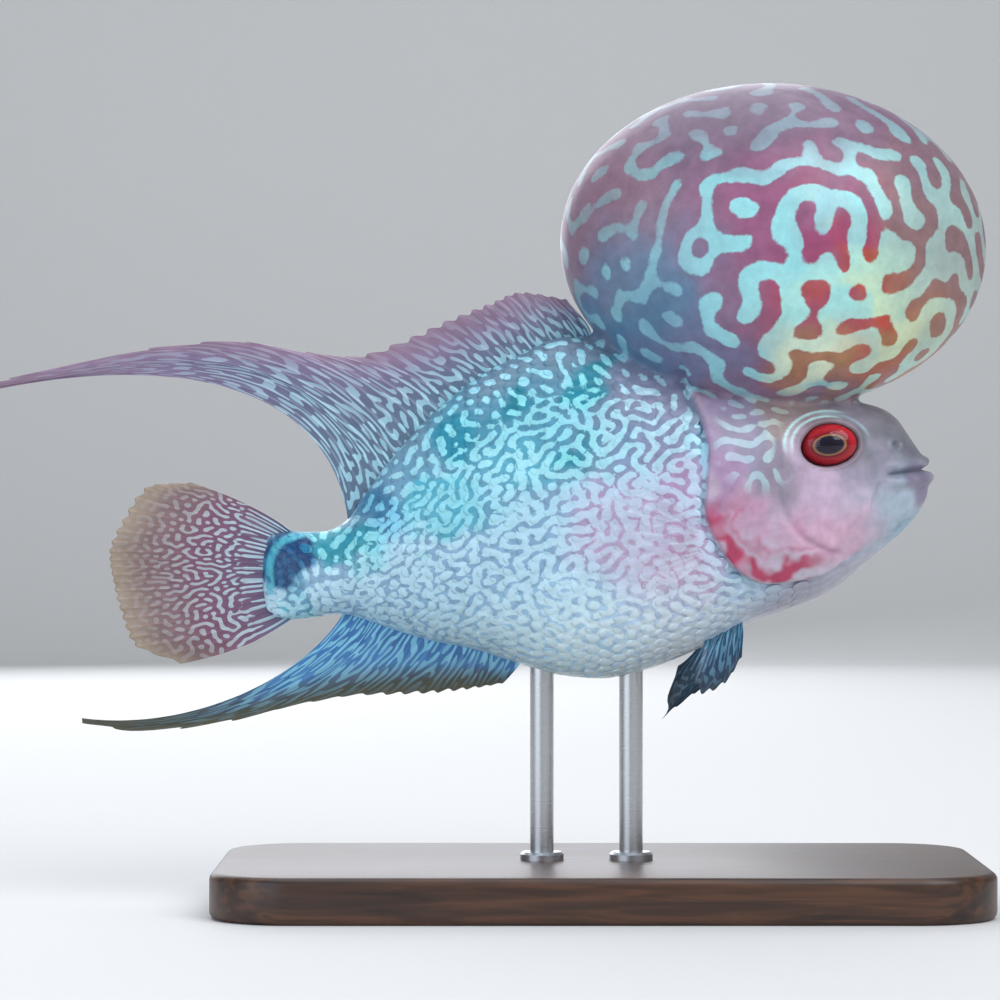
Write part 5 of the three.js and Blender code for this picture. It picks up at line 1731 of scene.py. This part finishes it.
@dataclass
class Stand:
    """The display stand: a walnut plate and two steel rods."""

    edge: float = 0.8
    corner: float = 9.0
    sunk: float = 2.2
    collar: tuple[float, float] = (2.4, 0.9)
    smooth_below: float = math.radians(35)

    def build(self, form: FishForm) -> list[tuple[Object, str]]:
        """Makes the plate and the rods and hands back each with the node it replaces."""
        wood, steel = Walnut().build(), BrushedSteel().build()
        pieces = [(self.plate(wood), "stand_base")]
        for node in ("stand_rod_back", "stand_rod_front"):
            pieces.append((self.rod(form, node, steel), node))
        return pieces

    def plate(self, finish: Material) -> Object:
        """The wooden plate, its upright corners rounded and its edges eased."""
        low, high = (np.array(corner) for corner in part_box("stand_base"))
        bpy.ops.object.select_all(action="DESELECT")
        bpy.ops.mesh.primitive_cube_add(size=1.0)
        piece = bpy.context.object
        piece.name = "stand_plate"
        unit = read_vertices(piece.data) * MM
        write_vertices(piece.data, (unit * (high - low) + (low + high) / 2) / MM)
        work = bmesh.new()
        work.from_mesh(piece.data)
        upright = [e for e in work.edges if abs(e.verts[0].co.z - e.verts[1].co.z) > 1e-4]
        bmesh.ops.bevel(work, geom=upright, offset=self.corner * MM, segments=16, profile=0.5,
                        affect="EDGES")
        work.to_mesh(piece.data)
        work.free()
        apply_modifier(piece, "BEVEL", width=self.edge * MM, segments=4, limit_method="ANGLE",
                       angle_limit=math.radians(50))
        self.dress(piece, finish)
        return piece

    def rod(self, form: FishForm, node: str, finish: Material) -> Object:
        """One rod, sunk a little way into the belly and the plate, with a collar at its foot."""
        low, high = (np.array(corner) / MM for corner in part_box(node))
        x, radius = (low[0] + high[0]) / 2, (high[0] - low[0]) / 2
        top = float(form.belly(x)) + self.sunk
        wide, tall = self.collar
        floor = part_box("stand_base")[1][2] / MM
        profile = [(radius - 0.1, floor - 0.6), (wide, floor - 0.6), (wide, floor + tall * 0.7),
                   (wide - 0.25, floor + tall), (radius, floor + tall), (radius, top),
                   (0.4, top + 0.2)]
        turns = np.linspace(0, 2 * math.pi, 48, endpoint=False)
        rings = [[(x + r * math.cos(t), r * math.sin(t), z) for t in turns] for r, z in profile]
        piece = close_rings(np.array(rings), f"{node}_dressed")
        self.dress(piece, finish)
        return piece

    def dress(self, piece: Object, finish: Material) -> None:
        """Shades a piece smooth but for its sharp edges, and gives it its finish."""
        only(piece)
        bpy.ops.object.shade_smooth_by_angle(angle=self.smooth_below)
        piece.data.materials.append(finish)


@dataclass(frozen=True)
class Lamp:
    """A soft square light that looks at the fish, with lengths in metres."""

    name: str
    place: tuple[float, float, float]
    size: float
    power: float
    colour: str
    aim: tuple[float, float, float] = (0.0, 0.0, 0.05)

    def build(self) -> None:
        """Makes the light and turns it to the fish."""
        data = bpy.data.lights.new(self.name, "AREA")
        data.shape = "SQUARE"
        data.size = self.size
        data.energy = self.power
        data.color = linear(self.colour)[:3]
        lamp = bpy.data.objects.new(self.name, data)
        bpy.context.scene.collection.objects.link(lamp)
        lamp.location = self.place
        way = np.array(self.aim) - np.array(self.place)
        pitch = math.acos(-way[2] / np.linalg.norm(way))
        lamp.rotation_euler = (pitch, 0, math.atan2(way[1], way[0]) - math.pi / 2)


@dataclass
class Studio:
    """The paper sweep, the lights and the camera, with the sweep's lengths in metres."""

    lamps: tuple[Lamp, ...] = (
        Lamp("key_light", (0.32, -0.42, 0.50), 0.52, 3.45, "#f7faff"),
        Lamp("fill_light", (-0.42, -0.44, 0.12), 0.55, 1.8, "#e4efff"),
        Lamp("top_light", (-0.05, 0.08, 0.62), 0.60, 2.2, "#f4f8ff"),
        Lamp("back_light", (-0.15, 0.52, 0.30), 0.50, 1.7, "#f4f8ff"),
    )
    sweep_front: float = -1.2
    sweep_back: float = 0.82
    sweep_radius: float = 0.15
    sweep_width: float = 3.0
    sweep_height: float = 1.6
    sweep_steps: int = 16
    px_mm: float = 0.11
    image_px: int = 1000
    origin_px: tuple[float, float] = (600.0, 905.0)
    lens: float = 150.0
    sensor: float = 36.0

    def build(self) -> None:
        """Makes the sweep, the lights, the sky's glow and the camera."""
        self.sweep()
        for lamp in self.lamps:
            lamp.build()
        world = bpy.data.worlds.new("studio")
        bpy.context.scene.world = world
        world.use_nodes = True
        back = world.node_tree.nodes["Background"]
        back.inputs["Color"].default_value = linear("#e2e9f2")
        back.inputs["Strength"].default_value = 0.30
        bpy.context.scene.view_settings.view_transform = "Standard"
        self.camera()

    def sweep(self) -> None:
        """A pale paper floor that curves up into a backdrop."""
        radius, back = self.sweep_radius, self.sweep_back
        profile = [(self.sweep_front, 0.0)]
        for i in range(self.sweep_steps + 1):
            turn = math.pi / 2 * i / self.sweep_steps
            profile.append((back - radius + radius * math.sin(turn),
                            radius - radius * math.cos(turn)))
        profile.append((back, self.sweep_height))
        verts = [(side * self.sweep_width / 2, y, z) for y, z in profile for side in (-1, 1)]
        faces = [(2 * i, 2 * i + 1, 2 * i + 3, 2 * i + 2) for i in range(len(profile) - 1)]
        piece = mesh_object("paper_sweep", verts, faces)
        s = Sheet("pale_paper")
        paper = s.add("ShaderNodeBsdfPrincipled", {"Base Color": linear("#dcdbd9"),
                                                   "Roughness": 0.8})
        piece.data.materials.append(s.finish(paper))

    def camera(self) -> None:
        """The camera that frames the fish as the photograph does."""
        data = bpy.data.cameras.new("camera")
        data.lens, data.sensor_width = self.lens, self.sensor
        data.clip_start, data.clip_end = 0.01, 20.0
        view = bpy.data.objects.new("camera", data)
        bpy.context.scene.collection.objects.link(view)
        distance = self.image_px * self.px_mm * self.lens / self.sensor
        x = (self.image_px / 2 - self.origin_px[0]) * self.px_mm
        z = (self.origin_px[1] - self.image_px / 2) * self.px_mm
        view.location = (x * MM, -distance * MM, z * MM)
        view.rotation_euler = (math.pi / 2, 0, 0)
        bpy.context.scene.camera = view


FLESH = ("nuchal_hump", "head", "lower_jaw", "gill_cover_right", "gill_cover_left", "torso",
         "tail_stem")


def hand_over(piece: Object, *nodes: str) -> None:
    """Rides a finished piece on the part, in the place of the solids it stands for.

    Args:
        piece: the piece.
        nodes: the solids that it replaces.
    """
    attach(piece, "root")
    if nodes:
        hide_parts(*nodes)
    LOG.info("%s: %d faces", piece.name, len(piece.data.polygons))


def build_fins() -> None:
    """Makes and dresses every fin."""
    for plan, skin in ((DORSAL, DORSAL_SKIN), (ANAL, ANAL_SKIN), (CAUDAL, TAIL_SKIN)):
        hand_over(Fin(plan).build(skin.build()), *plan.nodes)
    pelvic_finish = PELVIC_SKIN.build()
    for plan, side in ((PELVIC_LEFT, Side.LEFT), (PELVIC_RIGHT, Side.RIGHT)):
        hand_over(Fin(plan, side).build(pelvic_finish), *plan.nodes)
    clear_finish = CLEAR_SKIN.build()
    for side in Side:
        piece = Fin(PECTORAL, side).build(clear_finish)
        piece.name = f"pectoral_fin_{side.name.lower()}_dressed"
        hand_over(piece, f"pectoral_fin_{side.name.lower()}")


def main() -> None:
    """Builds the fish, its stand and the studio, in order."""
    form = FishForm()
    rows = ScaleRows(form)
    markings = Markings(form, rows)
    hand_over(Skin(form, markings).build(), *FLESH)
    for side in Side:
        hand_over(Scales(form, rows, markings).build(side))
    build_fins()
    iris, cornea = Iris().build(), Cornea().build()
    for side in Side:
        for piece in Eye(form, side).build(iris, cornea):
            hand_over(piece, f"eye_{side.name.lower()}")
    for piece, node in Stand().build(form):
        hand_over(piece, node)
    Studio().build()


if __name__ == "__main__":
    main()
